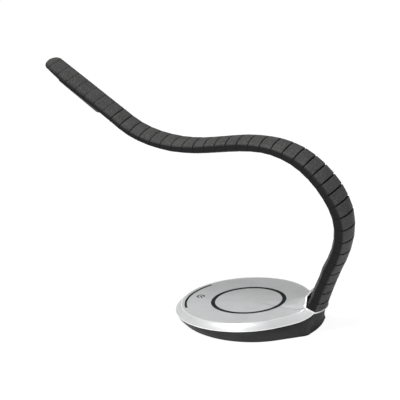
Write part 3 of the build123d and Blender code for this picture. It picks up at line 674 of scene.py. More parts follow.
@dataclass
class Arm:
    """The arm: a fixed root, its hinged vertebrae and the long last one that carries the light.

    Attributes:
        section: the outline along it.
        pitch: length of one vertebra.
        head_turn: turn of the head from the last vertebra, in degrees.
        gap: clearance between neighbours at full bend.
        play: clearance between a barrel and its cup.
        lip: rounding of a vertebra's upper edge.
        tuck: how far its lower edge draws in.
        step: how far down the fuller outer side of a barrel reaches, in degrees.
        step_run: angle over which it draws in.
        swing: how much further its cup is cut.
        barrel_turns: angles below the hinge plane of a barrel's rings, from its foot up.
        cup_turns: angles of a cup's rings, from its edge down.
        start: how far the skin begins over the gap.
        finish: how far it ends below the upper edge's rounding.
        body_n: rings between the two.
        seat_z: height of the root's seat.
        root_grooves: how many grooves the outline is carried on below the first one.
        root_shares: places of the root's rings, 0 at the seat and 1 at the first groove.
        root_from: place up to which the root's x is held.
        root_x: the largest x up to there.
        root_spread: how fast that limit grows above it, over the root's whole length.
        hinges: its hinge lines, from the root up.
    """

    section: ArmSection
    pitch: float = 12.0
    head_turn: float = 2.5
    gap: float = 0.3
    play: float = 0.1
    lip: float = 0.2
    tuck: float = 0.3
    step: float = 20.0
    step_run: float = 3.0
    swing: float = 22.0
    barrel_turns: tuple[float, ...] = (86.0, 70.0, 55.0, 42.0, 31.0, 28.0, 20.0, 17.0, 9.0)
    cup_turns: tuple[float, ...] = (0.0, 14.0, 28.0, 39.0, 42.0, 52.0, 62.0, 74.0, 86.0)
    start: float = 0.6
    finish: float = 0.3
    body_n: int = 7
    seat_z: float = 5.1
    root_grooves: float = 2.1
    root_shares: tuple[float, ...] = (0.0, 0.01, 0.3, 0.5, 0.6, 0.7, 0.8, 0.88, 0.95, 0.98)
    root_from: float = 0.3
    root_x: float = 71.5
    root_spread: float = 30.0
    hinges: list[Hinge] = field(default_factory=list)

    def read_hinges(self, joints: list[dict]) -> None:
        """Take the hinge lines from the frame's joints.

        Args:
            joints: the frame's joints in order.
        """
        origins = np.array([joint["pos_m"] for joint in joints]) / MM
        runs = np.diff(origins, axis=0)
        angles = list(np.degrees(np.arctan2(runs[:, 0], runs[:, 2])))
        angles.append(angles[-1] + self.head_turn)
        for i, joint in enumerate(joints):
            lean = radians(angles[i])
            along = np.array([sin(lean), 0.0, cos(lean)])
            bend = angles[i] - angles[i - 1] if i else 0.0
            self.hinges.append(Hinge(i + 1, origins[i], along, bend, *joint["range_deg"]))

    def turned(self, hinge: Hinge, low: Array, full: Array, turn: Array, step: float,
               height: float) -> Array:
        """A barrel outline turned down about the hinge line: P = (x cos t, y, height - |x| sin t).

        Down to the step it has the fuller outer side, and below it the smaller one.

        Args:
            hinge: the hinge below the piece.
            low: the barrel's outline.
            full: its outline above the step.
            turn: angle below the hinge plane in radians, one for all points or one each.
            step: angle in degrees at which the full outline ends.
            height: height of the hinge line over the piece's own hinge.

        Returns:
            The ring in the room.
        """
        share = np.clip((np.radians(step) - turn) / radians(self.step_run), 0.0, 1.0)[:, None]
        cut = low + (full - low) * share
        outline = np.column_stack([cut[:, 0] * np.cos(turn), cut[:, 1]])
        return hinge.place(outline, height - np.abs(cut[:, 0]) * np.sin(turn))

    def foot_rings(self, hinge: Hinge) -> tuple[list[Array], list[Array]]:
        """The barrel and the rounded lower edge of a piece.

        Args:
            hinge: the hinge below the piece.

        Returns:
            Rings in the room, and the share of painted shade on each.
        """
        section = self.section
        low, full = section.barrel(hinge.groove)
        rings = [self.turned(hinge, low, full, turn, self.step, 0.0)
                 for turn in np.radians(self.barrel_turns)[:, None]]
        rings.append(self.turned(hinge, low, full, -hinge.closing(full[:, 0]), self.step, 0.0))
        # how far in, height over the gap
        rounding = ((self.tuck + 0.25, 0.0), (self.tuck, 0.02), (self.tuck * 0.4, 0.15), (0.06, 0.4))
        for inset, rise in rounding:
            edge = section.outline(hinge.groove + rise / self.pitch, -inset)
            rings.append(hinge.place(edge, hinge.lift(edge[:, 0], self.gap) + rise))
        flank = section.flank(hinge.groove, section.outline(hinge.groove))
        return rings, [np.ones_like(flank)] * (len(rings) - 3) + [flank] * 3

    def top_rings(self, hinge: Hinge, groove: int, height: float) -> tuple[list[Array], list[Array]]:
        """A piece's upper edge and the cup in it, which follows the next barrel with play.

        Args:
            hinge: the hinge below the piece.
            groove: the groove at its upper end.
            height: that groove's height over the hinge.

        Returns:
            Rings in the room, and the share of painted shade on each.
        """
        section = self.section
        rings = [hinge.place(section.outline(groove, -inset * self.lip), height - drop * self.lip)
                 for inset, drop in ((0.0, 1.0), (0.3, 0.3), (1.0, 0.0))]
        low, full = section.barrel(groove, self.play)
        for turn in np.radians(self.cup_turns)[:, None]:
            rings.append(self.turned(hinge, low, full, turn, self.step + self.swing, height))
        flank = section.flank(groove, section.outline(groove))
        return rings, [flank] * 3 + [np.ones_like(flank)] * (len(rings) - 3)

    def body_rings(self, hinge: Hinge, start: Array, top_groove: float, height: float,
                   steps: int) -> tuple[list[Array], list[Array]]:
        """Rings between the lower edge and the upper one, each point on a straight line.

        Args:
            hinge: the hinge below the piece.
            start: height of the lower edge at each point.
            top_groove: the groove at the upper end.
            height: that end's height over the hinge.
            steps: how many rings.

        Returns:
            Rings in the room, and the share of painted shade on each.
        """
        rings, flank_shades = [], []
        for share in np.linspace(0.0, 1.0, steps + 2)[1:-1]:
            groove = hinge.groove + (top_groove - hinge.groove) * share
            outline = self.section.outline(groove)
            rings.append(hinge.place(outline, start + (height - start) * share))
            flank_shades.append(self.section.flank(groove, outline))
        return rings, flank_shades

    def vertebra(self, hinge: Hinge) -> bpy.types.Object:
        """One vertebra with its barrel below and its cup above.

        Args:
            hinge: the hinge below it.

        Returns:
            The finished piece.
        """
        low, low_shade = self.foot_rings(hinge)
        outline = self.section.outline(hinge.groove)
        start = hinge.lift(outline[:, 0], self.gap) + self.start
        end = self.pitch - self.lip - self.finish
        mid, mid_shade = self.body_rings(hinge, start, hinge.groove + 1, end, self.body_n)
        top, top_shade = self.top_rings(hinge, hinge.groove + 1, self.pitch)
        # the marks carry the painted shade of the side faces
        skin = Skin(np.array(low + mid + top), End.SLIT, End.SLIT,
                    {"flank": np.array(low_shade + mid_shade + top_shade)})
        name = f"link_{hinge.groove:02d}"
        return settle(skin.build(f"vertebra_{hinge.groove:02d}"), ARM, name, name)

    def root(self) -> bpy.types.Object:
        """The fixed root: the same outline carried down through the collar to its seat on the floor.

        Returns:
            The finished piece.
        """
        hinge = self.hinges[0]
        flank = self.section.flank(1, self.section.outline(1))
        rings = []
        for share in self.root_shares:
            outline = self.section.outline(max(1 - self.root_grooves * (1 - share), 0.0))
            seat = (self.seat_z - hinge.origin[2] + outline[:, 0] * hinge.along[0]) / hinge.along[2]
            ring = hinge.place(outline, seat * (1 - share) - (self.lip + self.finish) * share)
            reach = self.root_x + self.root_spread * max(share - self.root_from, 0.0)
            ring[:, 0] = np.minimum(ring[:, 0], reach)
            rings.append(ring)
        top, top_shade = self.top_rings(hinge, 1, 0.0)
        # the marks carry the painted shade of the side faces
        skin = Skin(np.array(rings + top), End.POINT, End.SLIT,
                    {"flank": np.array([flank] * len(rings) + top_shade)})
        return settle(skin.build("arm_root"), ARM, "base", "arm_anchor")


@dataclass
class Head:
    """The light head: the last long vertebra with its moulded grooves and rounded tip.

    Attributes:
        arm: the arm that it ends.
        grooves: moulded grooves after the last hinge.
        groove_w: half width of a moulded groove.
        groove_d: its depth.
        groove_run: how far from its middle the skin is straight again.
        tip_l: length of the tip beyond the last groove.
        tip_turns: first and last angle of the tip's rings, in degrees.
        tip_thin: share of its thickness that the tip loses.
        tip_plan: power that rounds its plan.
    """

    arm: Arm
    grooves: int = 7
    groove_w: float = 0.5
    groove_d: float = 0.42
    groove_run: float = 2.0
    tip_l: float = 7.6
    tip_turns: tuple[float, float] = (18.0, 88.5)
    tip_thin: float = 0.55
    tip_plan: float = 0.9

    def build(self) -> bpy.types.Object:
        """The head's housing and tip in one skin: the tip's half width is w cos(t)^p at length l sin(t).

        Returns:
            The finished piece.
        """
        arm, hinge = self.arm, self.arm.hinges[-1]
        rings, flank_shades = arm.foot_rings(hinge)
        outline = arm.section.outline(hinge.groove)
        start = float(hinge.lift(outline[:, 0], arm.gap).max()) + arm.start
        heights, insets = [start, 0.5 * (start + arm.pitch)], [0.0, 0.0]
        for number in range(1, self.grooves + 1):
            middle = number * arm.pitch
            heights += [middle - self.groove_run, middle - self.groove_w, middle - 0.4 * self.groove_w,
                        middle + 0.4 * self.groove_w, middle + self.groove_w, middle + self.groove_run]
            insets += [0.0, 0.0, self.groove_d, self.groove_d, 0.0, 0.0]
        for height, inset in zip(heights, insets):
            groove = hinge.groove + height / arm.pitch
            edge = arm.section.outline(groove, -inset)
            rings.append(hinge.place(edge, height))
            flank_shades.append(arm.section.flank(groove, edge))
        end = arm.section.outline(hinge.groove + self.grooves)
        for turn in np.linspace(*(radians(angle) for angle in self.tip_turns), 12):
            step = sin(turn)
            tip = end * (1 - self.tip_thin * step**4, cos(turn) ** self.tip_plan)
            rings.append(hinge.place(tip, self.grooves * arm.pitch + self.tip_l * step))
            flank_shades.append(arm.section.flank(hinge.groove + self.grooves, end))
        # the marks carry the painted shade of the side faces
        skin = Skin(np.array(rings), End.SLIT, End.POINT, {"flank": np.array(flank_shades)})
        return settle(skin.build("head_body"), ARM, "head", "head_housing", "tip_cap")


# --- base ----------------------------------------------------------------------------------
@dataclass
class BaseForm:
    """The base's outer lines, each half a loop from the left end round to the nose's middle.

    Attributes:
        arm: the arm whose root the collar fits.
        arc_n, line_n, nose_n: points on the circle, on the tangent and across the nose.
        cap_x, face_z, face_tilt, flat_r: the face's middle, height there, tilt and radius.
        rim_x, rim_z, rim_tilt, rim_r: the same of the parting line between cap and bowl.
        foot_r, foot_z, foot_nose: the bowl's foot, with the end and half width of its nose.
        belly_x, belly_r, belly_nose: the bowl's line at half height.
        nose_round: rounding of the nose's corners.
        swell: how far the nose's end bulges.
        pad_r: radius of the foot pad's recess.
        wall: thickness of the shells.
        rim_bow, face_bow: powers with which the parting line and the face rise to the collar.
        collar: corners of half the collar's edge, outward, across and up the arm's root.
        collar_n: points of the whole edge.
        collar_soft: length over which its corners are rounded.
    """

    arm: Arm
    arc_n: int = 90
    line_n: int = 26
    nose_n: int = 30
    cap_x: float = -4.4
    face_z: float = 17.45
    face_tilt: float = 4.2
    flat_r: float = 66.9
    rim_x: float = -4.6
    rim_z: float = 10.6
    rim_tilt: float = 3.5
    rim_r: float = 72.4
    foot_r: float = 69.9
    foot_z: float = 0.6
    foot_nose: tuple[float, float] = (73.8, 26.4)
    belly_x: float = -2.2
    belly_r: float = 72.0
    belly_nose: tuple[float, float] = (73.6, 24.0)
    nose_round: float = 6.0
    swell: float = 2.4
    pad_r: float = 65.3
    wall: float = 2.0
    rim_bow: float = 4.2
    face_bow: float = 4.2
    collar: tuple[Triple, ...] = ((11.0, 0.0, -8.5), (6.0, 19.0, -9.7), (-4.6, 20.6, -8.6),
                                  (-9.3, 12.6, -0.6), (-9.4, 0.0, 0.2))
    collar_n: int = 240
    collar_soft: float = 2.0

    def up(self) -> Array:
        """The face's normal."""
        return np.array([-sin(radians(self.face_tilt)), 0.0, cos(radians(self.face_tilt))])

    def on_face(self, plan: Array, rise: float = 0.0) -> Array:
        """Lift plan points onto the face plane: z = z0 + (x - cap_x) tan(tilt) + rise."""
        z = self.face_z + rise + (plan[:, 0] - self.cap_x) * tan(radians(self.face_tilt))
        return np.column_stack([plan, z])

    def on_rim(self, plan: Array) -> Array:
        """Lift plan points onto the parting plane: z = z0 + (x - rim_x) tan(tilt)."""
        z = self.rim_z + (plan[:, 0] - self.rim_x) * tan(radians(self.rim_tilt))
        return np.column_stack([plan, z])

    def circle_part(self, centre_x: float, radius: float, nose: Array) -> Array:
        """The circle's half from its left end to where the tangent to the nose leaves it.

        Args:
            centre_x: the circle's centre.
            radius: its radius.
            nose: the nose's end and half width.

        Returns:
            arc_n points in plan.
        """
        reach = nose[0] - centre_x
        touch = np.arctan2(nose[1], reach) + np.arccos(radius / np.hypot(reach, nose[1]))
        turn = np.linspace(np.pi, touch, self.arc_n)
        return np.column_stack([centre_x + radius * np.cos(turn), radius * np.sin(turn)])

    def collar_half(self) -> tuple[Array, int, int]:
        """Half the collar's edge: a parabola over the crown, then straight runs with softened corners.

        Returns:
            Points in the room from the crown's middle to the inner side's, and where the node, at which
            the parting line ends, and the shoulder, at which the bead ends, lie among them.
        """
        crown, node, *rest = (np.array(corner) for corner in self.collar)
        share = np.linspace(0.0, 1.0, 16)[:, None]
        over = crown + (node - crown) * share**2
        over[:, 1] = node[1] * share[:, 0]
        half = np.vstack([over, rest])
        loop = softened(self.whole(half), self.collar_soft, self.collar_n)[:self.collar_n // 2 + 1]
        marks = [int(np.argmin(np.linalg.norm(loop - corner, axis=1))) for corner in (node, rest[0])]
        return self.arm.hinges[0].place(loop[:, :2], loop[:, 2]), marks[0], marks[1]

    def bowl_loop(self, centre_x: float, radius: float, nose: tuple[float, float], corner: float) -> Array:
        """Half a bowl outline in plan: circle, tangent, rounded nose corner.

        Args:
            centre_x: the circle's centre.
            radius: its radius.
            nose: the nose's end and half width.
            corner: rounding of the nose's corner.

        Returns:
            Points from the left end to the nose's middle.
        """
        target = np.array(nose)
        arc = self.circle_part(centre_x, radius, target)
        run = target - arc[-1]
        far = arc[-1] + run * (1 - corner / np.linalg.norm(run))
        line = arc[-1] + (far - arc[-1]) * np.linspace(0, 1, self.line_n + 1)[1:, None]
        share = np.linspace(0, 1, self.nose_n // 2 + 1)[1:, None]
        front = np.array([target[0], max(target[1] - corner, 0.0)])
        bend = (1 - share) ** 2 * far + 2 * share * (1 - share) * target + share**2 * front
        across = 1 - np.linspace(0, 1, self.nose_n - self.nose_n // 2 + 1)[1:]
        flat = np.stack([front[0] + self.swell * (1 - across**2), front[1] * across], axis=1)
        return np.vstack([arc, line, bend, flat])

    def climbing(self, start: Array, end: Array, tilt: float, bow: float) -> Array:
        """A line from a point on the tangent that climbs late: z rises with the share to a power.

        Args:
            start: where the tangent leaves the circle.
            end: the collar's point.
            tilt: tilt of the plane that it leaves.
            bow: the power.

        Returns:
            line_n points, the last one on the collar.
        """
        share = np.linspace(0, 1, self.line_n + 1)[1:, None]
        plan = start[:2] + (end[:2] - start[:2]) * share
        slope = tan(radians(tilt))
        plane_z = start[2] + (plan[:, 0] - start[0]) * slope
        lift = end[2] - (start[2] + (end[0] - start[0]) * slope)
        return np.column_stack([plan, plane_z + lift * share[:, 0] ** bow])

    def loops(self) -> dict[str, Array]:
        """All the base's half lines.

        Returns:
            foot, belly and parting of the bowl, brim and bead of the cap, and the collar's edge.
        """
        edge, node, inner = self.collar_half()
        node_p, inner_p = edge[node], edge[inner]
        foot = self.bowl_loop(0.0, self.foot_r, self.foot_nose, self.nose_round)
        belly = self.bowl_loop(self.belly_x, self.belly_r, self.belly_nose, self.nose_round)
        rim_arc = self.on_rim(self.circle_part(self.rim_x, self.rim_r, node_p[:2]))
        flat_arc = self.on_face(self.circle_part(self.cap_x, self.flat_r, inner_p[:2]))
        rim_line = self.climbing(rim_arc[-1], node_p, self.rim_tilt, self.rim_bow)
        flat_line = self.climbing(flat_arc[-1], inner_p, self.face_tilt, self.face_bow)
        outer = resampled(edge[node::-1], self.nose_n + 1, closed=False)[1:]
        side_n = self.nose_n // 3
        side = resampled(edge[node:inner + 1], side_n + 1, closed=False)[1:]
        inside = resampled(edge[inner:], self.nose_n - side_n + 1, closed=False)[1:]
        middle = (self.foot_z + self.rim_z) / 2
        belly_z = middle + (belly[:, 0] - self.belly_x) * tan(radians(self.rim_tilt / 2))
        return {
            "foot": np.column_stack([foot, np.full(len(foot), self.foot_z)]),
            "belly": np.column_stack([belly, belly_z]),
            "parting": np.vstack([rim_arc, rim_line, outer]),
            "brim": np.vstack([rim_arc, rim_line, side, inside]),
            "bead": np.vstack([flat_arc, flat_line, np.repeat(inner_p[None], side_n, axis=0), inside]),
            "collar": edge,
        }

    @staticmethod
    def whole(half: Array) -> Array:
        """A closed loop from a half line and its mirror image across the middle plane."""
        return np.vstack([half, half[-2:0:-1] * (1.0, -1.0, 1.0)])

    def inward(self, loop: Array, wall: float, drop: float) -> Array:
        """A loop moved towards the base's middle and down: P - wall n + (0, 0, -drop).

        Args:
            loop: a whole loop.
            wall: how far it moves in.
            drop: how far it moves down.

        Returns:
            The moved loop.
        """
        run = np.roll(loop, -3, axis=0) - np.roll(loop, 3, axis=0)
        side = np.column_stack([run[:, 1], -run[:, 0]])
        side /= np.maximum(np.linalg.norm(side, axis=1, keepdims=True), 1e-6)
        towards = loop[:, :2] - (self.cap_x, 0.0)
        side *= np.sign((side * towards).sum(axis=1, keepdims=True))
        moved = loop.copy()
        moved[:, :2] -= wall * side
        moved[:, 2] -= drop
        return moved


@dataclass
class Base:
    """The weighted base: bowl, cap and trim.

    Attributes:
        form: its lines.
        bowl_shares: places of the bowl's rings, 0 at the foot and 1 at the parting line.
        recess_z: top of the recess for the foot pad.
        land: upright edge of the cap over the parting line.
        lip: how far the bright beads stand out.
        band_shares: places of the band's rings, 0 at the land and 1 at the face's bead.
        band_bulge: how far the band is crowned.
        face_inset: how far inside the bead's line the face begins.
        face_shares: size of the face's rings, 1 where it begins.
        rise_from: size of the ring within which the face is flat.
        rise_power: power with which it rises from there.
        under_shares: size of the rings of the cap's inner side.
        socket: middle of the cut for the power socket.
        socket_size: lengths of that cut.
        trim_w, trim_h: half width and half height of the collar's trim.
        trim_n: points round that trim.
    """

    form: BaseForm
    bowl_shares: tuple[float, ...] = (0.0, 0.04, 0.1, 0.2, 0.3, 0.4, 0.5, 0.6, 0.7, 0.8, 0.9, 0.96, 1.0)
    recess_z: float = 1.6
    land: float = 0.9
    lip: float = 0.28
    band_shares: tuple[float, ...] = (0.03, 0.12, 0.3, 0.5, 0.7, 0.88, 0.95)
    band_bulge: float = 0.35
    face_inset: float = 1.4
    face_shares: tuple[float, ...] = (1.0, 0.985, 0.96, 0.93, 0.9, 0.86, 0.82, 0.78, 0.73, 0.68, 0.6, 0.5,
                                      0.35, 0.15)
    rise_from: float = 0.62
    rise_power: float = 2.4
    under_shares: tuple[float, ...] = (0.15, 0.5, 0.9, 0.97)
    socket: Triple = (6.0, 74.0, 7.6)
    socket_size: Triple = (9.6, 12.0, 3.9)
    trim_w: float = 0.75
    trim_h: float = 0.62
    trim_n: int = 14

    def bowl(self) -> bpy.types.Object:
        """The lower shell as a cup with a wall: outer lines by the parabola through foot, belly and rim.

        Returns:
            The finished piece.
        """
        form, half = self.form, self.form.loops()
        foot, belly, parting = (form.whole(half[line]) for line in ("foot", "belly", "parting"))
        turn = np.arctan2(foot[:, 1], foot[:, 0])
        height = np.full(len(turn), self.recess_z)
        recess = np.column_stack([form.pad_r * np.cos(turn), form.pad_r * np.sin(turn), height])
        low = recess * (1, 1, 0) + (0, 0, form.foot_z)
        pad = [recess * (0.5, 0.5, 1.0), recess, recess * (1.0005, 1.0005, 1.0), low,
               form.inward(foot, 1.2, 0.0)]
        outer = []
        for share in self.bowl_shares:
            a, b, c = 2 * (share - 0.5) * (share - 1), -4 * share * (share - 1), 2 * share * (share - 0.5)
            outer.append(a * foot + b * belly + c * parting)
        outer[0] = form.inward(outer[0], 0.35, 0.0)
        outer.insert(1, form.inward(foot, 0.05, -0.35))
        inner = [form.inward(parting, 0.5, 0.1), form.inward(parting, form.wall, 0.2),
                 form.inward(belly, form.wall, 0.0), form.inward(foot, form.wall + 1.0, -2.4)]
        inner.append(inner[-1] * (0.6, 0.6, 1.0))
        bowl = Skin(np.array(pad + outer + inner)).build("bowl")
        self.pierce(bowl, self.socket, self.socket_size)
        return settle(bowl, SHELL, "base", "lower_shell")

    @staticmethod
    def pierce(piece: bpy.types.Object, middle: Triple, size: Triple) -> None:
        """Cut a box-shaped opening into a piece.

        Args:
            piece: the piece, changed in place.
            middle: the box's middle.
            size: its lengths along X, Y and Z.
        """
        corners = ((-0.5, -0.5), (0.5, -0.5), (0.5, 0.5), (-0.5, 0.5))
        ends = [(x, y, z) for y in (0.5, -0.5) for x, z in corners]
        sides = [(0, 4, 5, 1), (1, 5, 6, 2), (2, 6, 7, 3), (3, 7, 4, 0)]
        faces = np.array([(0, 1, 2, 3), (7, 6, 5, 4), *sides])
        cutter = put_mesh("cutter", np.array(ends) * size + middle, faces, {})
        cut = piece.modifiers.new("opening", "BOOLEAN")
        cut.operation, cut.object = "DIFFERENCE", cutter
        whole = piece.evaluated_get(bpy.context.evaluated_depsgraph_get())
        mesh = bpy.data.meshes.new_from_object(whole)
        piece.modifiers.clear()
        piece.data = mesh
        bpy.data.objects.remove(cutter)

    def band(self, brim: Array, bead: Array, start: Array, fits: Array) -> tuple[list[Array], list[Array]]:
        """The upright edge over the parting line, the crowned band above it and the face's bead.

        Args:
            brim: the cap's lower edge.
            bead: the face's edge.
            start: the band's lower edge.
            fits: share of the upright edge that there is room for, at each point.

        Returns:
            Rings, and the share of the painted highlight on each.
        """
        form, none = self.form, np.zeros(len(brim))
        rise = self.land * form.up()
        # how far in, share of the upright edge's height, share of the painted highlight
        edge = ((0.25, 0.0, 0.0), (-0.5 * self.lip, 0.12, 0.6), (-self.lip, 0.45, 1.0),
                (-0.7 * self.lip, 0.8, 1.0), (0.0, 1.0, 0.3))
        rings = [form.inward(brim, inset, 0.0) + rise * share * fits for inset, share, _ in edge]
        marks = [mark * fits[:, 0] for _, _, mark in edge]
        for share in self.band_shares:
            bulge = self.band_bulge * sin(np.pi * share)
            rings.append(form.inward(start + (bead - start) * share, -bulge, 0.0))
            marks.append(none)
        # how far in, height over the face, share of the painted highlight
        crest = ((-0.12, 0.1, 0.5), (0.0, 0.24, 1.0), (0.45, 0.24, 1.0), (0.8, 0.02, 0.3), (1.1, 0.0, 0.0))
        rings += [form.inward(bead, inset, 0.0) + form.up() * lift for inset, lift, _ in crest]
        marks += [none + mark for _, _, mark in crest]
        return rings, marks

    def face(self, bead: Array) -> list[Array]:
        """The face: z = plane + rise ((share - from) / (1 - from))^p, and the rise evens out inwards.

        Args:
            bead: the face's edge.

        Returns:
            Rings from the edge to the middle.
        """
        form = self.form
        edge = form.inward(bead, self.face_inset, 0.0)
        centre = np.array([form.cap_x, 0.0])
        over = edge[:, 2] - form.on_face(edge[:, :2])[:, 2]
        rings = []
        for number, share in enumerate(self.face_shares):
            ring = form.on_face(centre + (edge[:, :2] - centre) * share)
            fall = np.clip((share - self.rise_from) / (1 - self.rise_from), 0.0, 1.0) ** self.rise_power
            for _ in range(3 * number):
                over = (np.roll(over, 1) + 2 * over + np.roll(over, -1)) / 4
            ring[:, 2] += over * fall
            rings.append(ring)
        return rings

    def lining(self, bead: Array) -> list[Array]:
        """The face's inner side, a wall below it.

        Args:
            bead: the face's edge.

        Returns:
            Rings from the middle to the edge.
        """
        form = self.form
        centre = np.array([form.cap_x, 0.0])
        over = bead[:, 2] - form.on_face(bead[:, :2])[:, 2]
        rings = []
        for share in self.under_shares:
            ring = form.on_face(centre + (bead[:, :2] - centre) * share * 0.985, -form.wall)
            ring[:, 2] += over * share**6
            rings.append(ring)
        return rings

    def cap(self) -> bpy.types.Object:
        """The upper shell: its lining, then brim, band and bead, then the face, which rises to the collar.

        Returns:
            The finished piece.
        """
        form, half = self.form, self.form.loops()
        brim, bead = form.whole(half["brim"]), form.whole(half["bead"])
        span = np.linalg.norm(bead - brim, axis=1, keepdims=True)
        fits = np.clip(span / (2 * self.land), 0.0, 1.0)
        start = brim + self.land * form.up() * fits
        under = self.lining(bead) + [form.inward(edge, form.wall, 0.0) for edge in (start, brim)]
        # shine is the share of the painted highlight on the brim's and the face's beads
        band, shine = self.band(brim, bead, start, fits)
        face = self.face(bead)
        none = np.zeros(len(brim))
        marks = [none] * len(under) + shine + [none] * len(face)
        skin = Skin(np.array(under + band + face), marks={"bead": np.array(marks)})
        return settle(skin.build("cap"), SILVER, "base", "top_shell")

    def collar(self) -> bpy.types.Object:
        """The bright trim round the arm: an ellipse carried along the collar's edge.

        Returns:
            The finished piece.
        """
        edge = resampled(self.form.whole(self.form.loops()["collar"]), self.form.collar_n)
        run = np.roll(edge, -2, axis=0) - np.roll(edge, 2, axis=0)
        run /= np.linalg.norm(run, axis=1, keepdims=True)
        along = self.form.arm.hinges[0].along
        side = np.cross(run, along)
        side /= np.linalg.norm(side, axis=1, keepdims=True)
        up = np.cross(side, run)
        turn = np.linspace(0, 2 * np.pi, self.trim_n, endpoint=False)
        rings = (edge[:, None] + side[:, None] * (self.trim_w * np.cos(turn))[None, :, None]
                 + up[:, None] * (self.trim_h * np.sin(turn))[None, :, None])
        return settle(Skin(rings, End.LOOP, End.LOOP).build("collar_bead"), TRIM, "base", "collar_trim")


@dataclass
class Inlays:
    """The touch ring, the touch strip and the on-off symbol, dark strips let into the cap's face.

    Attributes:
        form: the base's lines.
        middle_x: middle of the pattern.
        top, bottom: heights of a strip's faces over the cap's face.
        ring_x, ring_r, ring_w: the ring's middle, radius and half width.
        strip_r, strip_ends, strip_w: the touch strip's radius, end angles and half width.
        symbol_x, symbol_r, symbol_ends: the same of the symbol's open circle.
        stroke_w: half width of the symbol's lines.
        bar_turn, bar_reach: direction of the symbol's bar, and where it starts and ends.
    """

    form: BaseForm
    middle_x: float = -3.6
    top: float = 0.07
    bottom: float = -0.7
    ring_x: float = 1.6
    ring_r: float = 36.7
    ring_w: float = 2.2
    strip_r: float = 63.4
    strip_ends: tuple[float, float] = (147.5, 212.5)
    strip_w: float = 1.2
    symbol_x: float = -51.7
    symbol_r: float = 3.5
    symbol_ends: tuple[float, float] = (-8.0, 268.0)
    stroke_w: float = 0.82
    bar_turn: float = 50.0
    bar_reach: tuple[float, float] = (0.2, 4.6)

    def arc(self, centre: float, radius: float, ends: tuple[float, float], count: int) -> Array:
        """An arc on the cap's face.

        Args:
            centre: its centre from the pattern's middle.
            radius: its radius.
            ends: angles of its ends from +X, in degrees.
            count: how many points.

        Returns:
            Points in the room.
        """
        turn = np.radians(np.linspace(*ends, count))
        along, across = centre + radius * np.cos(turn), radius * np.sin(turn)
        x = self.middle_x + along * cos(radians(self.form.face_tilt))
        return self.form.on_face(np.column_stack([x, across]))

    def lay(self, name: str, path: Array, half_width: float, closed: bool, *nodes: str) -> None:
        """Lay a strip into the face.

        Args:
            name: the piece's name.
            path: its middle line.
            half_width: half its width.
            closed: whether the line is a loop.
            nodes: the nodes that it replaces.
        """
        inlay = strip(path, self.form.up(), half_width, self.top, self.bottom, closed)
        settle(inlay.build(name), INLAY, "base", *nodes)

    def build(self) -> None:
        """Lay the ring, the touch strip and the symbol's two lines."""
        circle = self.arc(self.ring_x, self.ring_r, (0.0, 360.0), 241)[:-1]
        self.lay("face_ring", circle, self.ring_w, True, "ring_inlay")
        self.lay("touch_strip", self.arc(0.0, self.strip_r, self.strip_ends, 90), self.strip_w, False,
                 "slider_inlay")
        symbol = self.arc(self.symbol_x, self.symbol_r, self.symbol_ends, 60)
        self.lay("switch_mark", symbol, self.stroke_w, False, "symbol_inlay")
        reach = np.linspace(*self.bar_reach, 12)
        x = self.middle_x + self.symbol_x + reach * cos(radians(self.bar_turn))
        bar = self.form.on_face(np.column_stack([x, -reach * sin(radians(self.bar_turn))]))
        self.lay("switch_mark_bar", bar, self.stroke_w, False)


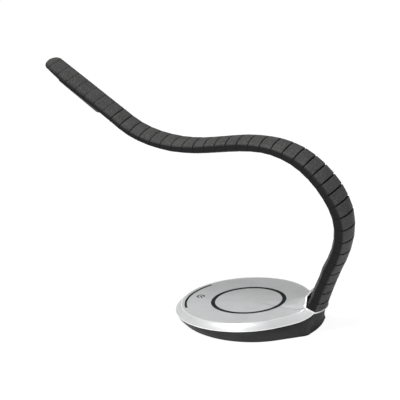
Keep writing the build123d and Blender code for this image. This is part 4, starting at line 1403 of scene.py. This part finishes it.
# --- studio --------------------------------------------------------------------------------
@dataclass
class Studio:
    """Floor, light and camera.

    Attributes:
        azimuth: the camera's direction round the object, in degrees.
        elevation: its height over the horizon.
        distance: from the target, in metres.
        target: the point it looks at.
        lens: focal length on the sensor, in millimetres.
        sensor: width of the sensor.
        clip_end: how far the camera sees, in metres.
        floor_half: half the floor's side, in metres.
        floor_glow: strength of the floor's white for the camera.
        floor_share: share of that white against the lit floor with its shadow.
        sky: strength of the sky's light.
        lamps: name, place, side and power in watts of each lamp.
    """

    azimuth: float = 22.5
    elevation: float = 19.68
    distance: float = 2.445
    target: Triple = (-0.0561, 0.0, 0.1194)
    lens: float = 215.6
    sensor: float = 36.0
    clip_end: float = 300.0
    floor_half: float = 60.0
    floor_glow: float = 1.08
    floor_share: float = 0.85
    sky: float = 0.3
    lamps: tuple[tuple[str, Triple, float, float], ...] = (
        ("overhead", (-0.35, -0.5, 1.85), 1.0, 36.0),
        ("front", (0.2, -1.8, 0.8), 0.7, 16.0),
    )

    def floor(self) -> None:
        """A pale floor that the camera sees as white, with the object's soft shadow."""
        signs = ((-1, -1, 0), (1, -1, 0), (1, 1, 0), (-1, 1, 0))
        mesh = bpy.data.meshes.new("floor")
        mesh.from_pydata((np.array(signs) * self.floor_half).tolist(), [], [(0, 1, 2, 3)])
        floor = bpy.data.objects.new("floor", mesh)
        bpy.context.scene.collection.objects.link(floor)
        material = bpy.data.materials.new("floor_white")
        material.use_nodes = True
        graph = Graph(material.node_tree)
        graph.feed(graph.shader, {"Base Color": (0.9, 0.9, 0.9), "Roughness": 0.9})
        glow = graph.node("ShaderNodeEmission", 0, {"Strength": self.floor_glow})
        share = graph.product(graph.node("ShaderNodeLightPath", "Is Camera Ray"), self.floor_share)
        both = graph.mix_shader(share, graph.shader.outputs[0], glow)
        graph.feed(graph.tree.nodes["Material Output"], {"Surface": both})
        mesh.materials.append(material)

    def world(self) -> None:
        """A white backdrop for the camera and an even grey sky for the object."""
        world = bpy.data.worlds.new("studio")
        bpy.context.scene.world = world
        world.use_nodes = True
        graph = Graph(world.node_tree, "Background")
        white = (1.0, 1.0, 1.0)
        graph.feed(graph.shader, {"Color": white, "Strength": self.sky})
        seen = graph.node("ShaderNodeBackground", 0, {"Color": white})
        share = graph.node("ShaderNodeLightPath", "Is Camera Ray")
        both = graph.mix_shader(share, graph.shader.outputs[0], seen)
        graph.feed(graph.tree.nodes["World Output"], {"Surface": both})

    def lamp(self, name: str, place: Triple, size: float, power: float) -> None:
        """A soft square lamp that faces the object.

        Args:
            name: its name.
            place: where it hangs, in metres.
            size: length of its side.
            power: its power in watts.
        """
        light = bpy.data.lights.new(name, "AREA")
        light.size = size
        light.energy = power
        lamp = bpy.data.objects.new(name, light)
        lamp.location = place
        lamp.rotation_euler = (Vector(self.target) - Vector(place)).to_track_quat("-Z", "Y").to_euler()
        bpy.context.scene.collection.objects.link(lamp)

    def camera(self) -> None:
        """The camera, at the viewing angle of the main view."""
        data = bpy.data.cameras.new("camera")
        data.lens = self.lens
        data.sensor_width = self.sensor
        data.clip_end = self.clip_end
        camera = bpy.data.objects.new("camera", data)
        a, e = radians(self.azimuth), radians(self.elevation)
        back = Vector((sin(a) * cos(e), -cos(a) * cos(e), sin(e)))
        camera.location = Vector(self.target) + back * self.distance
        camera.rotation_euler = back.to_track_quat("Z", "Y").to_euler()
        bpy.context.scene.collection.objects.link(camera)
        bpy.context.scene.camera = camera

    def build(self) -> None:
        """Set up floor, sky, lamps and camera."""
        self.floor()
        self.world()
        for lamp in self.lamps:
            self.lamp(*lamp)
        self.camera()


def main() -> None:
    """Build the lamp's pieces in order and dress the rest."""
    logging.basicConfig(level=logging.INFO, format="%(message)s")
    bpy.context.scene.view_settings.view_transform = "Standard"
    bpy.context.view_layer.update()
    arm = Arm(ArmSection())
    arm.read_hinges(frame["joints"])
    arm.root()
    for hinge in arm.hinges[:-1]:
        arm.vertebra(hinge)
    Head(arm).build()
    form = BaseForm(arm)
    base = Base(form)
    base.bowl()
    base.cap()
    base.collar()
    Inlays(form).build()
    for node, finish in NODE_FINISHES.items():
        finish.wear(frame["nodes"][node])
        log.info("%s dressed", node)
    Studio().build()


if __name__ == "__main__":
    main()
